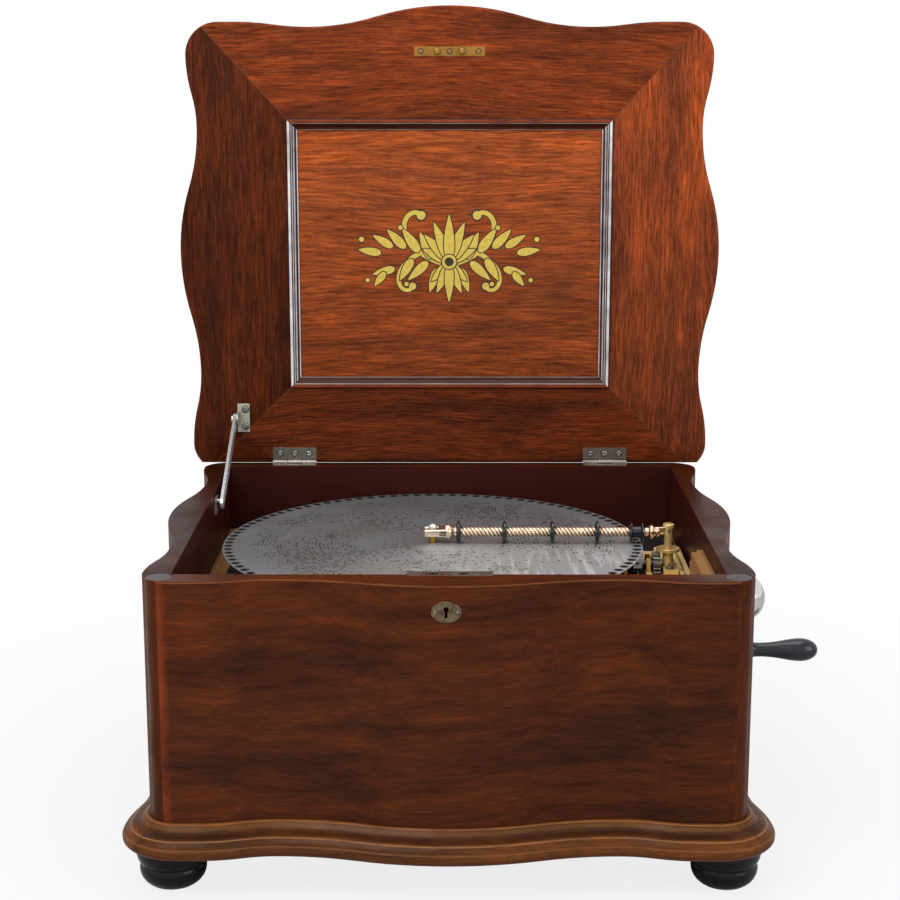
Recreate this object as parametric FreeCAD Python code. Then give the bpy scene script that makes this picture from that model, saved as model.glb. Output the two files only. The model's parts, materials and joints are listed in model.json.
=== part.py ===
import FreeCAD, Part
import math
import os

from FreeCAD import Vector

# Disc music box: a serpentine mahogany case on bun feet, with a hinged lid that stands open,
# a steel disc on a centre spindle, a pressure bar with rollers, a spring motor and a crank.
# Millimetres. Origin on the floor under the middle of the case, X right, Y to the back, Z up.

# Case. A plan is a waved front and a waved side, each as its crests and troughs in turn.
CAVITY_HALF = 230.3
CAVITY_FRONT = -206.0
CAVITY_BACK = 205.7
CASE_BACK = 220.4
SIDE_TIP = 260.5
FRONT_TIP = -239.0
CASE_PLAN = (
    ((212.0, -229.0), (143.0, -219.0), (0.0, FRONT_TIP), (-143.0, -219.0), (-212.0, -229.0)),
    ((254.5, -202.0), (243.2, -127.0), (SIDE_TIP, 0.0), (243.2, 125.0), (254.5, 197.0)),
)
BASE_BOTTOM = 44.0
BASE_TOP = 70.0
BASE_REACH = 24.0
RIM = 280.0
POST_RADIUS = 11.5
POST_X = 239.0
POST_Y = -214.5
BOTTOM_LOW = 56.0
FOOT_X = 238.0
FOOT_FRONT_Y = -192.0
FOOT_BACK_Y = 176.0

# Lid, drawn closed and then turned open about its hinge line; its waves swell past the case's
LID_PLAN = (
    ((214.0, -223.0), (143.0, -218.0), (0.0, FRONT_TIP), (-143.0, -218.0), (-214.0, -223.0)),
    ((258.0, -198.0), (248.5, -127.0), (268.5, 0.0), (251.0, 125.0), (260.5, 201.0)),
)
HINGE_Y = 220.6
HINGE_Z = 280.3
LID_GAP = 0.3
LID_OVERHANG = 8.0
LID_THICK = 20.0
LID_SWEEP_IN = -16.0
LID_CORNER = (254.0, -231.0)
LID_TOP_THICK = 9.0
PANEL_HALF = 166.0
PANEL_FRONT = -135.4
PANEL_BACK = 141.2
MOULDING_WIDE = 11.5
KNUCKLE_RADIUS = 3.0
HINGE_PIN_RADIUS = 1.5
LEAF_THICK = 1.2
HINGE_INNER_X = 140.0
HINGE_OUTER_X = 185.5

# Disc and its drive
DISC_X = -15.5
DISC_Y = 4.0
DISC_LOW = 250.0
DISC_THICK = 1.0
DISC_RADIUS = 196.85
RIM_HOLES = 98
HOLE_RING = 191.5
HOLE_RADIUS = 2.8
SPINDLE_RADIUS = 3.2
SPROCKET_PINS = 10
PIN_TIP = 22.5
PIN_ROOT = 16.5
RUNNING = 0.05
APART = 0.3

# Bedplate and star wheels
BED_LOW = 212.0
BED_TOP = 218.0
STAR_COUNT = 40
STAR_PITCH = 3.6
STAR_FIRST_X = 12.0
STAR_POINTS = 8
STAR_RADIUS = 8.4
STAR_ROOT = 5.2
STAR_CORE = 3.6
STAR_BORE = 2.0
STAR_Z = 241.0
COMB_Z = 237.0
COMB_THICK = 3.2
COMB_BASS = 42.0
COMB_TREBLE = 30.0
COMB_BACK = 64.0
COMB_WEIGHTS = 14

# Spring motor: gears of one module, all on axes along X
MODULE = 1.5
GREAT_TEETH = 72
PINION_TEETH = 14
WINDING_TEETH = 40
CRANK_TEETH = 12
GEAR_X = 191.5
GEAR_WIDE = 7.0
WINDING_X = 200.5
BARREL_X = 122.0
BARREL_RADIUS = 37.0
ARBOR_RADIUS = 5.0
CRANK_Y = 0.0
CRANK_Z = 199.0
CRANK_SHAFT_RADIUS = 6.0
BUSH_SUNK = 1.2
CRANK_ARM_X = 267.0
CRANK_ARM_THICK = 8.0
GRIP_DROP = 52.0
FAN_X = 154.0

# Pressure bar
BAR_Z = 261.5
BAR_RADIUS = 4.2
ROLLER_X = (8.8, 51.9, 96.8, 139.0)
ROLLER_WIDE = 4.0
PILLAR_X = 206.0
PILLAR_RADIUS = 3.8
BAR_PIVOT_Z = 263.0
BAR_PIN_RADIUS = 1.2
BAR_CORE = 3.0
TONGUE_THICK = 2.8
TONGUE_HALF = 3.4

# Lever that starts and stops the disc
STOP_X = 206.0
STOP_Y = -95.0

# Lid stay and lock
STAY_X = -224.9
STAY_THICK = 3.0
STAY_HALF = 5.5
STAY_SLOT = 58.0
STAY_SLOT_HALF = 1.8
STAY_TOP = (213.0, 328.0)
STAY_STUD = (90.0, 270.0)
STUD_X = 12.5
LOCK_Y = -202.0
LOCK_TRAVEL = 5.0
KEYHOLE_X = -2.0
KEYHOLE_Z = 257.6
ESCUTCHEON_SUNK = 0.6

X = Vector(1, 0, 0)
Y = Vector(0, 1, 0)
Z = Vector(0, 0, 1)

SPROCKET_X = DISC_X + HOLE_RING
PIN_PITCH = HOLE_RING * SPROCKET_PINS / RIM_HOLES
SPROCKET_Z = DISC_LOW + DISC_THICK / 2 - PIN_PITCH
ROLLER_RADIUS = BAR_Z - DISC_LOW - DISC_THICK - APART
GREAT_TO_SPROCKET = MODULE * (GREAT_TEETH + PINION_TEETH) / 2
WINDING_TO_CRANK = MODULE * (WINDING_TEETH + CRANK_TEETH) / 2

nodes = {}
fasteners = {"case_screws": [], "lid_screws": []}


def box(x0, x1, y0, y1, z0, z1):
    return Part.makeBox(x1 - x0, y1 - y0, z1 - z0, Vector(x0, y0, z0))


def rod(x, y, z, axis, radius, length):
    return Part.makeCylinder(radius, length, Vector(x, y, z), axis)


def fuse(shapes):
    first = shapes[0]
    return first.multiFuse(shapes[1:]).removeSplitter() if len(shapes) > 1 else first


def group(shapes):
    """Separate solids that share a node."""
    solids = [solid for shape in shapes for solid in shape.Solids]
    return Part.makeCompound(solids)


def prism(points, axis, length):
    """A closed outline of points, pushed along an axis."""
    corners = [Vector(*p) for p in points]
    wire = Part.makePolygon(corners + corners[:1])
    return Part.Face(wire).extrude(axis * length)


def turned(profile, origin, axis):
    """A solid turned about an axis; the profile is (distance along it, radius) pairs."""
    side = Z if axis != Z else X
    start = Vector(*origin)
    corners = [start + axis * along + side * radius for along, radius in profile]
    wire = Part.makePolygon(corners + corners[:1])
    return Part.Face(wire).revolve(start, axis, 360)


def mirrored_x(shape):
    return shape.mirror(Vector(0, 0, 0), X)


# Serpentine outline


def wave(start, end, along):
    """Two equal arcs that join a crest to a trough, level with `along` at both."""
    step = end - start
    run = step.dot(along)
    rise = step - along * run
    height = rise.Length
    radius = (run * run + height * height) / (4 * height)
    normal = rise * (1 / height)
    middle = (start + end) * 0.5
    edges = []
    for centre, first, last in (
        (start + normal * radius, start, middle),
        (end - normal * radius, middle, end),
    ):
        bulge = (first - centre) + (last - centre)
        bulge.normalize()
        edges.append(Part.Arc(first, centre + bulge * radius, last).toShape())
    return edges


def corner(start, end, centre):
    """A quarter round from start to end about a centre."""
    bulge = (start - centre) + (end - centre)
    bulge.normalize()
    top = centre + bulge * (start - centre).Length
    return Part.Arc(start, top, end).toShape()


def outline(plan, z):
    """A closed plan: waved front and sides, round corners, flat back."""
    front = [Vector(x, y, z) for x, y in plan[0]]
    side = [Vector(x, y, z) for x, y in plan[1]]
    front_round = side[0].y - front[0].y
    front_end = Vector(side[0].x - front_round, front[0].y, z)
    back_round = CASE_BACK - side[-1].y
    back_end = Vector(side[-1].x - back_round, CASE_BACK, z)
    right = [Part.LineSegment(front[0], front_end).toShape()]
    right.append(corner(front_end, side[0], Vector(front_end.x, side[0].y, z)))
    for a, b in zip(side, side[1:]):
        right += wave(a, b, Y)
    right.append(corner(side[-1], back_end, Vector(back_end.x, side[-1].y, z)))
    left = [mirrored_x(edge) for edge in right]
    middle = []
    for a, b in zip(front, front[1:]):
        middle += wave(a, b, -X)
    back = Part.LineSegment(back_end, Vector(-back_end.x, CASE_BACK, z)).toShape()
    return Part.Wire(Part.sortEdges(middle + right + left + [back])[0])


def slab(plan, z0, z1, grow=0.0):
    """A plan, grown outwards, from one height to another."""
    wire = outline(plan, z0)
    if grow:
        wire = wire.makeOffset2D(grow)
    return Part.Face(wire).extrude(Z * (z1 - z0))


def moulded_rim(plan, profile):
    """A moulding run round a plan; the profile is (outward, height) pairs."""
    corners = [Vector(0, FRONT_TIP - out, z) for out, z in profile]
    section = Part.makePolygon(corners + corners[:1])
    sweep = Part.BRepOffsetAPI.MakePipeShell(outline(plan, profile[0][1]))
    sweep.setBiNormalMode(Z)
    sweep.add(section)
    sweep.build()
    sweep.makeSolid()
    return sweep.shape()


def quarters(inner_x, inner_front, inner_back, slope_front, slope_back, z0, z1):
    """Four mitred regions round a rectangle: front, back, left and right."""
    far = 200.0
    out_x = inner_x + far
    out_front = inner_front - far * slope_front
    out_back = inner_back + far * slope_back
    outlines = {
        "front": [(-inner_x, inner_front), (inner_x, inner_front), (out_x, out_front), (-out_x, out_front)],
        "back": [(-inner_x, inner_back), (inner_x, inner_back), (out_x, out_back), (-out_x, out_back)],
        "right": [(inner_x, inner_front), (out_x, out_front), (out_x, out_back), (inner_x, inner_back)],
    }
    outlines["left"] = [(-x, y) for x, y in outlines["right"]]
    return {
        name: prism([(x, y, z0) for x, y in points], Z, z1 - z0) for name, points in outlines.items()
    }


# Case


def case_boards():
    body = slab(CASE_PLAN, BASE_TOP, RIM)
    posts = [rod(s * POST_X, POST_Y, BASE_TOP, Z, POST_RADIUS, RIM - BASE_TOP) for s in (-1, 1)]
    regions = quarters(CAVITY_HALF, CAVITY_FRONT, CASE_BACK, 1, 1, BASE_TOP, RIM)
    back = box(-300, 300, CAVITY_BACK, CASE_BACK, BASE_TOP, RIM)
    boards = {side: body.common(regions[side]).cut(back) for side in ("front", "left", "right")}
    boards["back"] = body.common(back)
    for side in ("front", "left", "right"):
        boards[side] = boards[side].cut(posts[0]).cut(posts[1])
    boards["front"] = boards["front"].cut(lock_room()).cut(escutcheon_seat())
    boards["right"] = boards["right"].cut(bushing_seat())
    boards["back"] = boards["back"].cut(fuse(hinge_rooms_case()))
    for side, board in boards.items():
        nodes["case_" + side] = board
    nodes["corner_posts"] = group(posts)


def base_frame():
    profile = [
        (-6, BASE_TOP),
        (3, BASE_TOP),
        (8.5, BASE_TOP - 7.0),
        (16.5, BASE_TOP - 9.5),
        (20.5, BASE_TOP - 14.5),
        (BASE_REACH, BASE_TOP - 15.5),
        (BASE_REACH, BASE_BOTTOM + 4),
        (BASE_REACH - 4, BASE_BOTTOM),
        (-6, BASE_BOTTOM),
    ]
    ring = moulded_rim(CASE_PLAN, profile).fuse(slab(CASE_PLAN, BASE_BOTTOM, BASE_TOP))
    room = box(-CAVITY_HALF, CAVITY_HALF, CAVITY_FRONT, CAVITY_BACK, BASE_BOTTOM - 1, BASE_TOP + 1)
    ring = ring.cut(room)
    low = BASE_BOTTOM - 1
    regions = quarters(CAVITY_HALF, CAVITY_FRONT, CAVITY_BACK, 1, 1, low, BASE_TOP + 1)
    order = ("front", "back", "left", "right")
    nodes["base_moulding"] = group([ring.common(regions[side]) for side in order])
    nodes["bottom_board"] = box(
        -CAVITY_HALF, CAVITY_HALF, CAVITY_FRONT, CAVITY_BACK, BOTTOM_LOW, BASE_TOP
    )


def bun_foot(x, y):
    profile = [
        (0, 0), (0, 17), (4, 24), (11, 30), (19, 32), (27, 30.5), (34, 26), (38, 23),
        (BASE_BOTTOM, 23), (BASE_BOTTOM, 0),
    ]
    return turned(profile, (x, y, 0), Z)


def feet():
    places = [(s * FOOT_X, y) for s in (-1, 1) for y in (FOOT_FRONT_Y, FOOT_BACK_Y)]
    nodes["bun_feet"] = group([bun_foot(x, y) for x, y in places])


def bed_rails():
    """Spruce rails on both side walls that carry the bedplate, and the tall cleat in front."""
    inner = 214.0
    right = box(inner, CAVITY_HALF, CAVITY_FRONT, CAVITY_BACK, BED_LOW - 24, BED_LOW)
    shaft_way = rod(inner - 1, CRANK_Y, CRANK_Z, X, CRANK_SHAFT_RADIUS + 2.5, 40)
    nodes["bed_rails"] = group([mirrored_x(right), right.cut(shaft_way)])
    cleat = box(218, CAVITY_HALF, CAVITY_FRONT, -62, BED_TOP + 10, 262)
    nodes["side_cleat"] = cleat.cut(box(217, 224, -70, -61, 252, 263))


# Lid


def opened(shape):
    """Turn a piece of the closed lid to where it stands open."""
    turned_shape = shape.copy()
    turned_shape.rotate(Vector(0, HINGE_Y, HINGE_Z), X, -90)
    return turned_shape


def lid_frame():
    low = HINGE_Z + LID_GAP
    top = low + LID_THICK
    reach = LID_OVERHANG
    profile = [
        (LID_SWEEP_IN, low),
        (reach - 1.5, low),
        (reach, low + 1.5),
        (reach, low + 10),
        (reach - 5, low + 15.5),
        (reach - 10.5, top),
        (LID_SWEEP_IN, top),
    ]
    frame = moulded_rim(LID_PLAN, profile).fuse(slab(LID_PLAN, low, top, LID_SWEEP_IN + 5))
    frame = frame.cut(box(-300, 300, HINGE_Y - LID_GAP, 300, low - 1, top + 1))
    inner = box(-PANEL_HALF, PANEL_HALF, PANEL_FRONT, PANEL_BACK, low - 1, top + 1)
    frame = frame.cut(inner)
    rooms = lid_hinge_rooms() + [link_plate_room(), panel_groove()]
    for room in rooms:
        frame = frame.cut(room)
    slope = (PANEL_FRONT - LID_CORNER[1]) / (LID_CORNER[0] - PANEL_HALF)
    regions = quarters(PANEL_HALF, PANEL_FRONT, PANEL_BACK, slope, 1, low - 1, top + 1)
    order = ("front", "back", "left", "right")
    nodes["lid_frame"] = opened(group([frame.common(regions[side]) for side in order]))
    board = slab(LID_PLAN, top, top + LID_TOP_THICK, -LID_OVERHANG)
    keep = box(-300, 300, -300, HINGE_Y - 10, top - 1, top + LID_TOP_THICK + 1)
    nodes["lid_top"] = opened(board.common(keep))


def panel_groove():
    """The groove round the frame's opening that the panel sits in."""
    low = HINGE_Z + LID_GAP + 3
    return box(-PANEL_HALF - 6, PANEL_HALF + 6, PANEL_FRONT - 6, PANEL_BACK + 6, low, low + 7)


def lid_panel():
    panel = panel_groove()
    nodes["lid_panel"] = opened(panel)
    nodes["panel_moulding"] = opened(group(panel_mouldings(panel.BoundBox.ZMin)))


def panel_mouldings(panel_face):
    """Four mitred strips inside the opening, with a raised outer bead and a cove."""
    proud = 3.5
    low = HINGE_Z + LID_GAP - proud
    wide = MOULDING_WIDE
    section = (
        (0, panel_face),
        (0, low + 1),
        (1.2, low),
        (4.2, low),
        (5.4, low + 1.2),
        (8.5, panel_face - 2.6),
        (wide, panel_face - 1.6),
        (wide, panel_face),
    )
    strips = []
    for y, inward in ((PANEL_FRONT, 1), (PANEL_BACK, -1)):
        points = [(-PANEL_HALF, y + inward * d, z) for d, z in section]
        strips.append(prism(points, X, 2 * PANEL_HALF))
    for s in (-1, 1):
        points = [(s * (PANEL_HALF - d), PANEL_FRONT, z) for d, z in section]
        strips.append(prism(points, Y, PANEL_BACK - PANEL_FRONT))
    inset = 100.0
    regions = quarters(
        PANEL_HALF - inset, PANEL_FRONT + inset, PANEL_BACK - inset, 1, 1, low - 5, panel_face + 5
    )
    order = ("front", "back", "left", "right")
    return [strip.common(regions[side]) for strip, side in zip(strips, order)]


# Hinges


def hinge_spans():
    """Where each hinge lies along X, left and right."""
    return ((-HINGE_OUTER_X, -HINGE_INNER_X), (HINGE_INNER_X, HINGE_OUTER_X))


def knuckle_groove(x0, x1):
    return rod(x0 - 0.5, HINGE_Y, HINGE_Z, X, KNUCKLE_RADIUS + 0.6, x1 - x0 + 1)


def hinge_rooms_case():
    rooms = []
    for x0, x1 in hinge_spans():
        rooms.append(knuckle_groove(x0, x1))
        rooms.append(box(x0, x1, HINGE_Y - 14, HINGE_Y, RIM - 1.5, RIM + 1))
    return rooms


def lid_hinge_rooms():
    low = HINGE_Z + LID_GAP
    rooms = []
    for x0, x1 in hinge_spans():
        rooms.append(knuckle_groove(x0, x1))
        rooms.append(box(x0, x1, HINGE_Y - 15.7, HINGE_Y, low - 1, low + 1.5))
    return rooms


def knuckle(x0, x1):
    outer = rod(x0, HINGE_Y, HINGE_Z, X, KNUCKLE_RADIUS, x1 - x0)
    return outer.cut(rod(x0 - 1, HINGE_Y, HINGE_Z, X, HINGE_PIN_RADIUS + RUNNING, x1 - x0 + 2))


def hinges():
    third = (HINGE_OUTER_X - HINGE_INNER_X) / 3
    case_leaves = []
    lid_leaves = []
    pins = []
    case_screws = []
    lid_screws = []
    pin_bore_radius = HINGE_PIN_RADIUS + RUNNING
    for x0, x1 in hinge_spans():
        bore = rod(x0 - 1, HINGE_Y, HINGE_Z, X, pin_bore_radius, x1 - x0 + 2)
        clear = rod(x0 - 1, HINGE_Y, HINGE_Z, X, KNUCKLE_RADIUS + APART, x1 - x0 + 2)
        a = x0 + third
        b = x1 - third
        low = RIM - 1.5
        leaf = box(x0, x1, HINGE_Y - 14, HINGE_Y - 2, low, low + LEAF_THICK)
        plain = leaf.cut(clear)
        ends = [leaf.common(box(p, q, 0, 300, 0, 400)) for p, q in ((x0, a), (b, x1))]
        case_leaves.append(fuse([plain] + ends + [knuckle(x0, a), knuckle(b, x1)]).cut(bore))
        low = HINGE_Z + LID_GAP + 0.2
        leaf = box(x0, x1, HINGE_Y - 15.7, HINGE_Y - 2, low, low + LEAF_THICK)
        plain = leaf.cut(clear)
        gap_a = a + APART
        gap_b = b - APART
        centre = leaf.common(box(gap_a, gap_b, 0, 300, 0, 400))
        lid_leaves.append(fuse([plain, centre, knuckle(gap_a, gap_b)]).cut(bore))
        pins.append(rod(x0, HINGE_Y, HINGE_Z, X, HINGE_PIN_RADIUS, x1 - x0))
        for share in (0.17, 0.5, 0.83):
            x = x0 + share * (x1 - x0)
            case_screws.append(rod(x, HINGE_Y - 9, RIM - 10, Z, 1.6, 9.9))
            lid_screws.append(rod(x, HINGE_Y - 9.5, HINGE_Z + 0.4, Z, 1.6, 10))
    case_leaves = [bored(leaf, case_screws) for leaf in case_leaves]
    lid_leaves = [bored(leaf, lid_screws) for leaf in lid_leaves]
    nodes["case_back"] = bored(nodes["case_back"], case_screws)
    opened_screws = [opened(screw) for screw in lid_screws]
    nodes["lid_frame"] = bored(nodes["lid_frame"], opened_screws)
    nodes["hinge_case_leaves"] = group(case_leaves)
    nodes["hinge_lid_leaves"] = group([opened(leaf) for leaf in lid_leaves])
    nodes["hinge_pins"] = group(pins)
    fasteners["case_screws"] += case_screws
    fasteners["lid_screws"] += opened_screws


def bored(shape, tools):
    for tool in tools:
        if shape.BoundBox.intersect(tool.BoundBox):
            shape = shape.cut(tool)
    return shape


# Lid stay


def stay():
    """A slotted stay: the arm hangs from an ear on the lid and catches a stud on the wall."""
    top_y, top_z = STAY_TOP
    stud_y, stud_z = STAY_STUD
    face = HINGE_Y + LID_GAP
    ear_x = STAY_X + STAY_THICK + APART
    plate = box(ear_x, -209, face - 1.6, face, top_z - 15, top_z + 15)
    ear = fuse([
        rod(ear_x, top_y, top_z, X, 7, 1.6),
        box(ear_x, ear_x + 1.6, top_y, face, top_z - 7, top_z + 7),
    ])
    rivet = rod(STAY_X - 1.2, top_y, top_z, X, 2.5, STAY_THICK + 2.8)
    head = rod(STAY_X - 2.2, top_y, top_z, X, 4.2, 1.9)
    screws = [rod(-213.5, face - 2.6, top_z + dz, Y, 2.6, 8) for dz in (-9, 9)]
    nodes["stay_bracket"] = bored(fuse([plate, ear, rivet, head]), screws)
    nodes["lid_frame"] = bored(nodes["lid_frame"], screws)
    fasteners["lid_screws"] += screws
    run = math.hypot(top_y - stud_y, top_z - stud_z)
    slope = math.degrees(math.atan2(top_z - stud_z, top_y - stud_y))
    end = -run - 3
    arm = fuse([
        box(STAY_X, STAY_X + STAY_THICK, end, 0, -STAY_HALF, STAY_HALF),
        rod(STAY_X, 0, 0, X, STAY_HALF + 0.4, STAY_THICK),
        rod(STAY_X, end, 0, X, STAY_HALF, STAY_THICK),
    ])
    slot_end = -run + STAY_SLOT
    slot = fuse([
        box(STAY_X - 1, 0, -run, slot_end, -STAY_SLOT_HALF, STAY_SLOT_HALF),
        rod(STAY_X - 1, -run, 0, X, STAY_SLOT_HALF, 20),
        rod(STAY_X - 1, slot_end, 0, X, STAY_SLOT_HALF, 20),
    ])
    arm = arm.cut(slot).cut(rod(STAY_X - 1, 0, 0, X, 2.5 + RUNNING, 20))
    arm.rotate(Vector(0, 0, 0), X, slope)
    arm.translate(Vector(0, top_y, top_z))
    nodes["stay_arm"] = arm
    wall = -CAVITY_HALF
    plate = box(wall, wall + 1.6, stud_y - 9, stud_y + 9, stud_z - 12, stud_z + 4)
    stud = rod(wall, stud_y, stud_z, X, 2.6, STAY_X - APART - wall)
    wall_screws = [rod(wall - 6, stud_y + dy, stud_z - 8, X, 1.6, 8) for dy in (-4, 4)]
    nodes["stay_stud_plate"] = bored(fuse([plate, stud]), wall_screws)
    nodes["case_left"] = bored(nodes["case_left"], wall_screws)
    fasteners["case_screws"] += wall_screws


# Lock


def lock_room():
    return box(-34.5, 37, LOCK_Y - 9, CAVITY_FRONT, 244, RIM + 1)


def lock():
    case = box(-34.5, 37, LOCK_Y - 9, LOCK_Y + 6, 244, RIM - 0.1)
    room = box(-30, 33, LOCK_Y - 6, LOCK_Y + 4, 264, 276)
    case = case.cut(room)
    for s in (-1, 1):
        case = case.cut(rod(s * STUD_X, LOCK_Y, 270, Z, 4.2, 20))
    nodes["lock_case"] = case
    bolt = box(-22, 26, LOCK_Y - 5.7, LOCK_Y + 3.7, 270.2, 273.2)
    for s in (-1, 1):
        bolt = bolt.cut(rod(s * STUD_X, LOCK_Y, 265, Z, 3.9, 12))
        x = s * STUD_X
        bolt = bolt.cut(box(x, x + LOCK_TRAVEL, LOCK_Y - 2.2, LOCK_Y + 2.2, 265, 277))
        bolt = bolt.cut(rod(x + LOCK_TRAVEL, LOCK_Y, 265, Z, 2.2, 12))
    nodes["lock_bolt"] = bolt
    low = HINGE_Z + LID_GAP
    profile = [
        (0, 0), (0, 2.2), (0.6, 2.8), (1.4, 2.8), (1.8, 1.7), (8.6, 1.7), (9, 3.0),
        (14.6, 3.0), (14.6, 0),
    ]
    studs = [turned(profile, (s * STUD_X, LOCK_Y, low - 12.6), Z) for s in (-1, 1)]
    plate = link_plate_room()
    plate = plate.common(box(-60, 60, -300, 0, low - 0.2, low + 1.4))
    screws = [rod(x, LOCK_Y, low - 0.3, Z, 1.9, 9) for x in (-29, 0, 29)]
    nodes["link_plate"] = opened(bored(fuse([plate] + studs), screws))
    opened_screws = [opened(piece) for piece in screws]
    tools = [opened(piece) for piece in studs] + opened_screws
    nodes["lid_frame"] = bored(nodes["lid_frame"], tools)
    fasteners["lid_screws"] += opened_screws


def link_plate_room():
    low = HINGE_Z + LID_GAP
    return box(-35.5, 35.5, LOCK_Y - 4.6, LOCK_Y + 4.6, low - 0.2, low + 1.4)


def oval(half_x, half_z, y0, y1):
    """An oval plate that stands upright, across Y, round the keyhole."""
    curve = Part.Ellipse(Vector(0, 0, 0), half_x, half_z).toShape()
    face = Part.Face(Part.Wire(curve))
    face.rotate(Vector(0, 0, 0), X, 90)
    face.translate(Vector(KEYHOLE_X, y1, KEYHOLE_Z))
    return face.extrude(Vector(0, y0 - y1, 0))


def keyhole(y0, y1):
    top = rod(KEYHOLE_X, y0, KEYHOLE_Z + 2, Y, 2.2, y1 - y0)
    slot = box(KEYHOLE_X - 1.1, KEYHOLE_X + 1.1, y0, y1, KEYHOLE_Z - 5, KEYHOLE_Z + 2)
    return fuse([top, slot])


def escutcheon_seat():
    back = FRONT_TIP + ESCUTCHEON_SUNK
    return fuse([oval(12.5, 9, back - 5, back), keyhole(back - 5, back + 12)])


def escutcheon():
    back = FRONT_TIP + ESCUTCHEON_SUNK
    pins = [rod(KEYHOLE_X + s * 9.3, back - 1.9, KEYHOLE_Z, Y, 1.1, 6) for s in (-1, 1)]
    plate = oval(12.5, 9, back - 1.5, back).cut(keyhole(back - 5, back + 1))
    nodes["escutcheon"] = bored(plate, pins)
    fasteners["case_screws"] += pins
    nodes["case_front"] = bored(nodes["case_front"], pins)


# Bedplate, star wheels and combs


def bedplate():
    plate = box(-212, 226, -150, 158, BED_LOW, BED_TOP)
    sprocket_way = box(SPROCKET_X - 6, SPROCKET_X + 6, DISC_Y - 24, DISC_Y + 24, 200, 230)
    gear_way = box(GEAR_X - 1.5, GEAR_X + GEAR_WIDE + 1.5, DISC_Y - 16, DISC_Y + 64, 200, 240)
    plate = plate.cut(sprocket_way).cut(gear_way)
    for x in (-150, -70, 60):
        for y in (-100, 108):
            plate = plate.cut(rod(x, y, BED_LOW - 1, Z, 26, 10))
    places = ((-206, -130), (-206, 0), (-206, 138), (220, -130), (220, 138))
    screws = [screw(x, y, BED_TOP, 5, 20) for x, y in places]
    fasteners["case_screws"] += screws
    nodes["bedplate"] = bored(plate, screws)
    nodes["bed_rails"] = bored(nodes["bed_rails"], screws)
    end = box(184, 226, -78, 80, BED_TOP, BED_TOP + 4)
    for x0, x1 in ((184, 189.5), (216, 219), (222, 226)):
        end = end.fuse(box(x0, x1, -78, 80, BED_TOP + 4, BED_TOP + 8))
    for y in (-78, -42, 40, 76):
        end = end.fuse(box(201, 216, y, y + 4, BED_TOP + 4, BED_TOP + 8))
    end = end.cut(gear_way).cut(rod(220, 0, BED_TOP - 1, Z, 5.6, 30))
    nodes["bedplate_end"] = end.removeSplitter()


def screw(x, y, z, head_radius, length):
    """A cheese-head screw whose head sits on z and whose shank goes down."""
    shank = head_radius * 0.55
    profile = (
        (-length, 0), (-length, shank), (0, shank), (0, head_radius), (shank, head_radius), (shank, 0),
    )
    return turned(profile, (x, y, z), Z)


def star(x):
    """One eight-point star, as thick as half the pitch."""
    points = []
    for i in range(2 * STAR_POINTS):
        angle = math.pi * i / STAR_POINTS
        radius = STAR_RADIUS if i % 2 == 0 else STAR_ROOT
        points.append((x, DISC_Y + radius * math.sin(angle), STAR_Z + radius * math.cos(angle)))
    return prism(points, X, STAR_PITCH / 2)


def star_wheels():
    length = STAR_COUNT * STAR_PITCH
    core_points = []
    for i in range(6):
        angle = math.pi * i / 3
        y = DISC_Y + STAR_CORE * math.sin(angle)
        z = STAR_Z + STAR_CORE * math.cos(angle)
        core_points.append((STAR_FIRST_X, y, z))
    core = prism(core_points, X, length)
    stars = [star(STAR_FIRST_X + i * STAR_PITCH) for i in range(STAR_COUNT)]
    bore = rod(STAR_FIRST_X - 1, DISC_Y, STAR_Z, X, STAR_BORE, length + 2)
    nodes["star_wheels"] = core.multiFuse(stars).cut(bore)
    end = STAR_FIRST_X + length
    nodes["star_arbor"] = rod(STAR_FIRST_X - 7, DISC_Y, STAR_Z, X, STAR_BORE, length + 14)
    brackets = []
    for x in (STAR_FIRST_X - 6, end + 2):
        sides = (
            (x, DISC_Y - 12, BED_TOP), (x, DISC_Y + 12, BED_TOP),
            (x, DISC_Y + 5, STAR_Z + 4.5), (x, DISC_Y - 5, STAR_Z + 4.5),
        )
        plate = prism(sides, X, 4)
        brackets.append(plate.cut(rod(x - 1, DISC_Y, STAR_Z, X, STAR_BORE + RUNNING, 6)))
    return brackets


def comb(side):
    """A steel comb: tapered teeth that end beside the stars, the lowest ones with a weight under
    the tip. Side is -1 in front of the stars, 1 behind them. Distances run from the stars' axis."""
    tip = STAR_RADIUS + 0.5
    long = STAR_COUNT * STAR_PITCH
    x0 = STAR_FIRST_X - 4
    x1 = x0 + long + 6
    plate = flat_piece(side, ((x0, COMB_BASS), (x1, COMB_TREBLE), (x1, COMB_BACK), (x0, COMB_BACK)), COMB_Z)
    pieces = [plate.extrude(Z * COMB_THICK)]
    for i in range(STAR_COUNT):
        x = STAR_FIRST_X + (i + 0.25) * STAR_PITCH
        share = (i + 1.4) / (STAR_COUNT + 1.6)
        root = COMB_BASS + (COMB_TREBLE - COMB_BASS) * share + 2.5
        ends = ((x - 1.3, root), (x + 1.3, root), (x + 0.7, tip), (x - 0.7, tip))
        pieces.append(flat_piece(side, ends, COMB_Z + 1.2).extrude(Z * 1.4))
        if i < COMB_WEIGHTS:
            near = tip + 3
            far = tip + 11 - i * 0.4
            ends = ((x - 0.7, near), (x + 0.7, near), (x + 0.7, far), (x - 0.7, far))
            pieces.append(flat_piece(side, ends, COMB_Z - 2).extrude(Z * 3.4))
    return pieces[0].multiFuse(pieces[1:])


def flat_piece(side, points, z):
    """A level face from points given as X and the distance from the stars' axis."""
    corners = [Vector(x, DISC_Y + side * out, z) for x, out in points]
    return Part.Face(Part.makePolygon(corners + corners[:1]))


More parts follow.
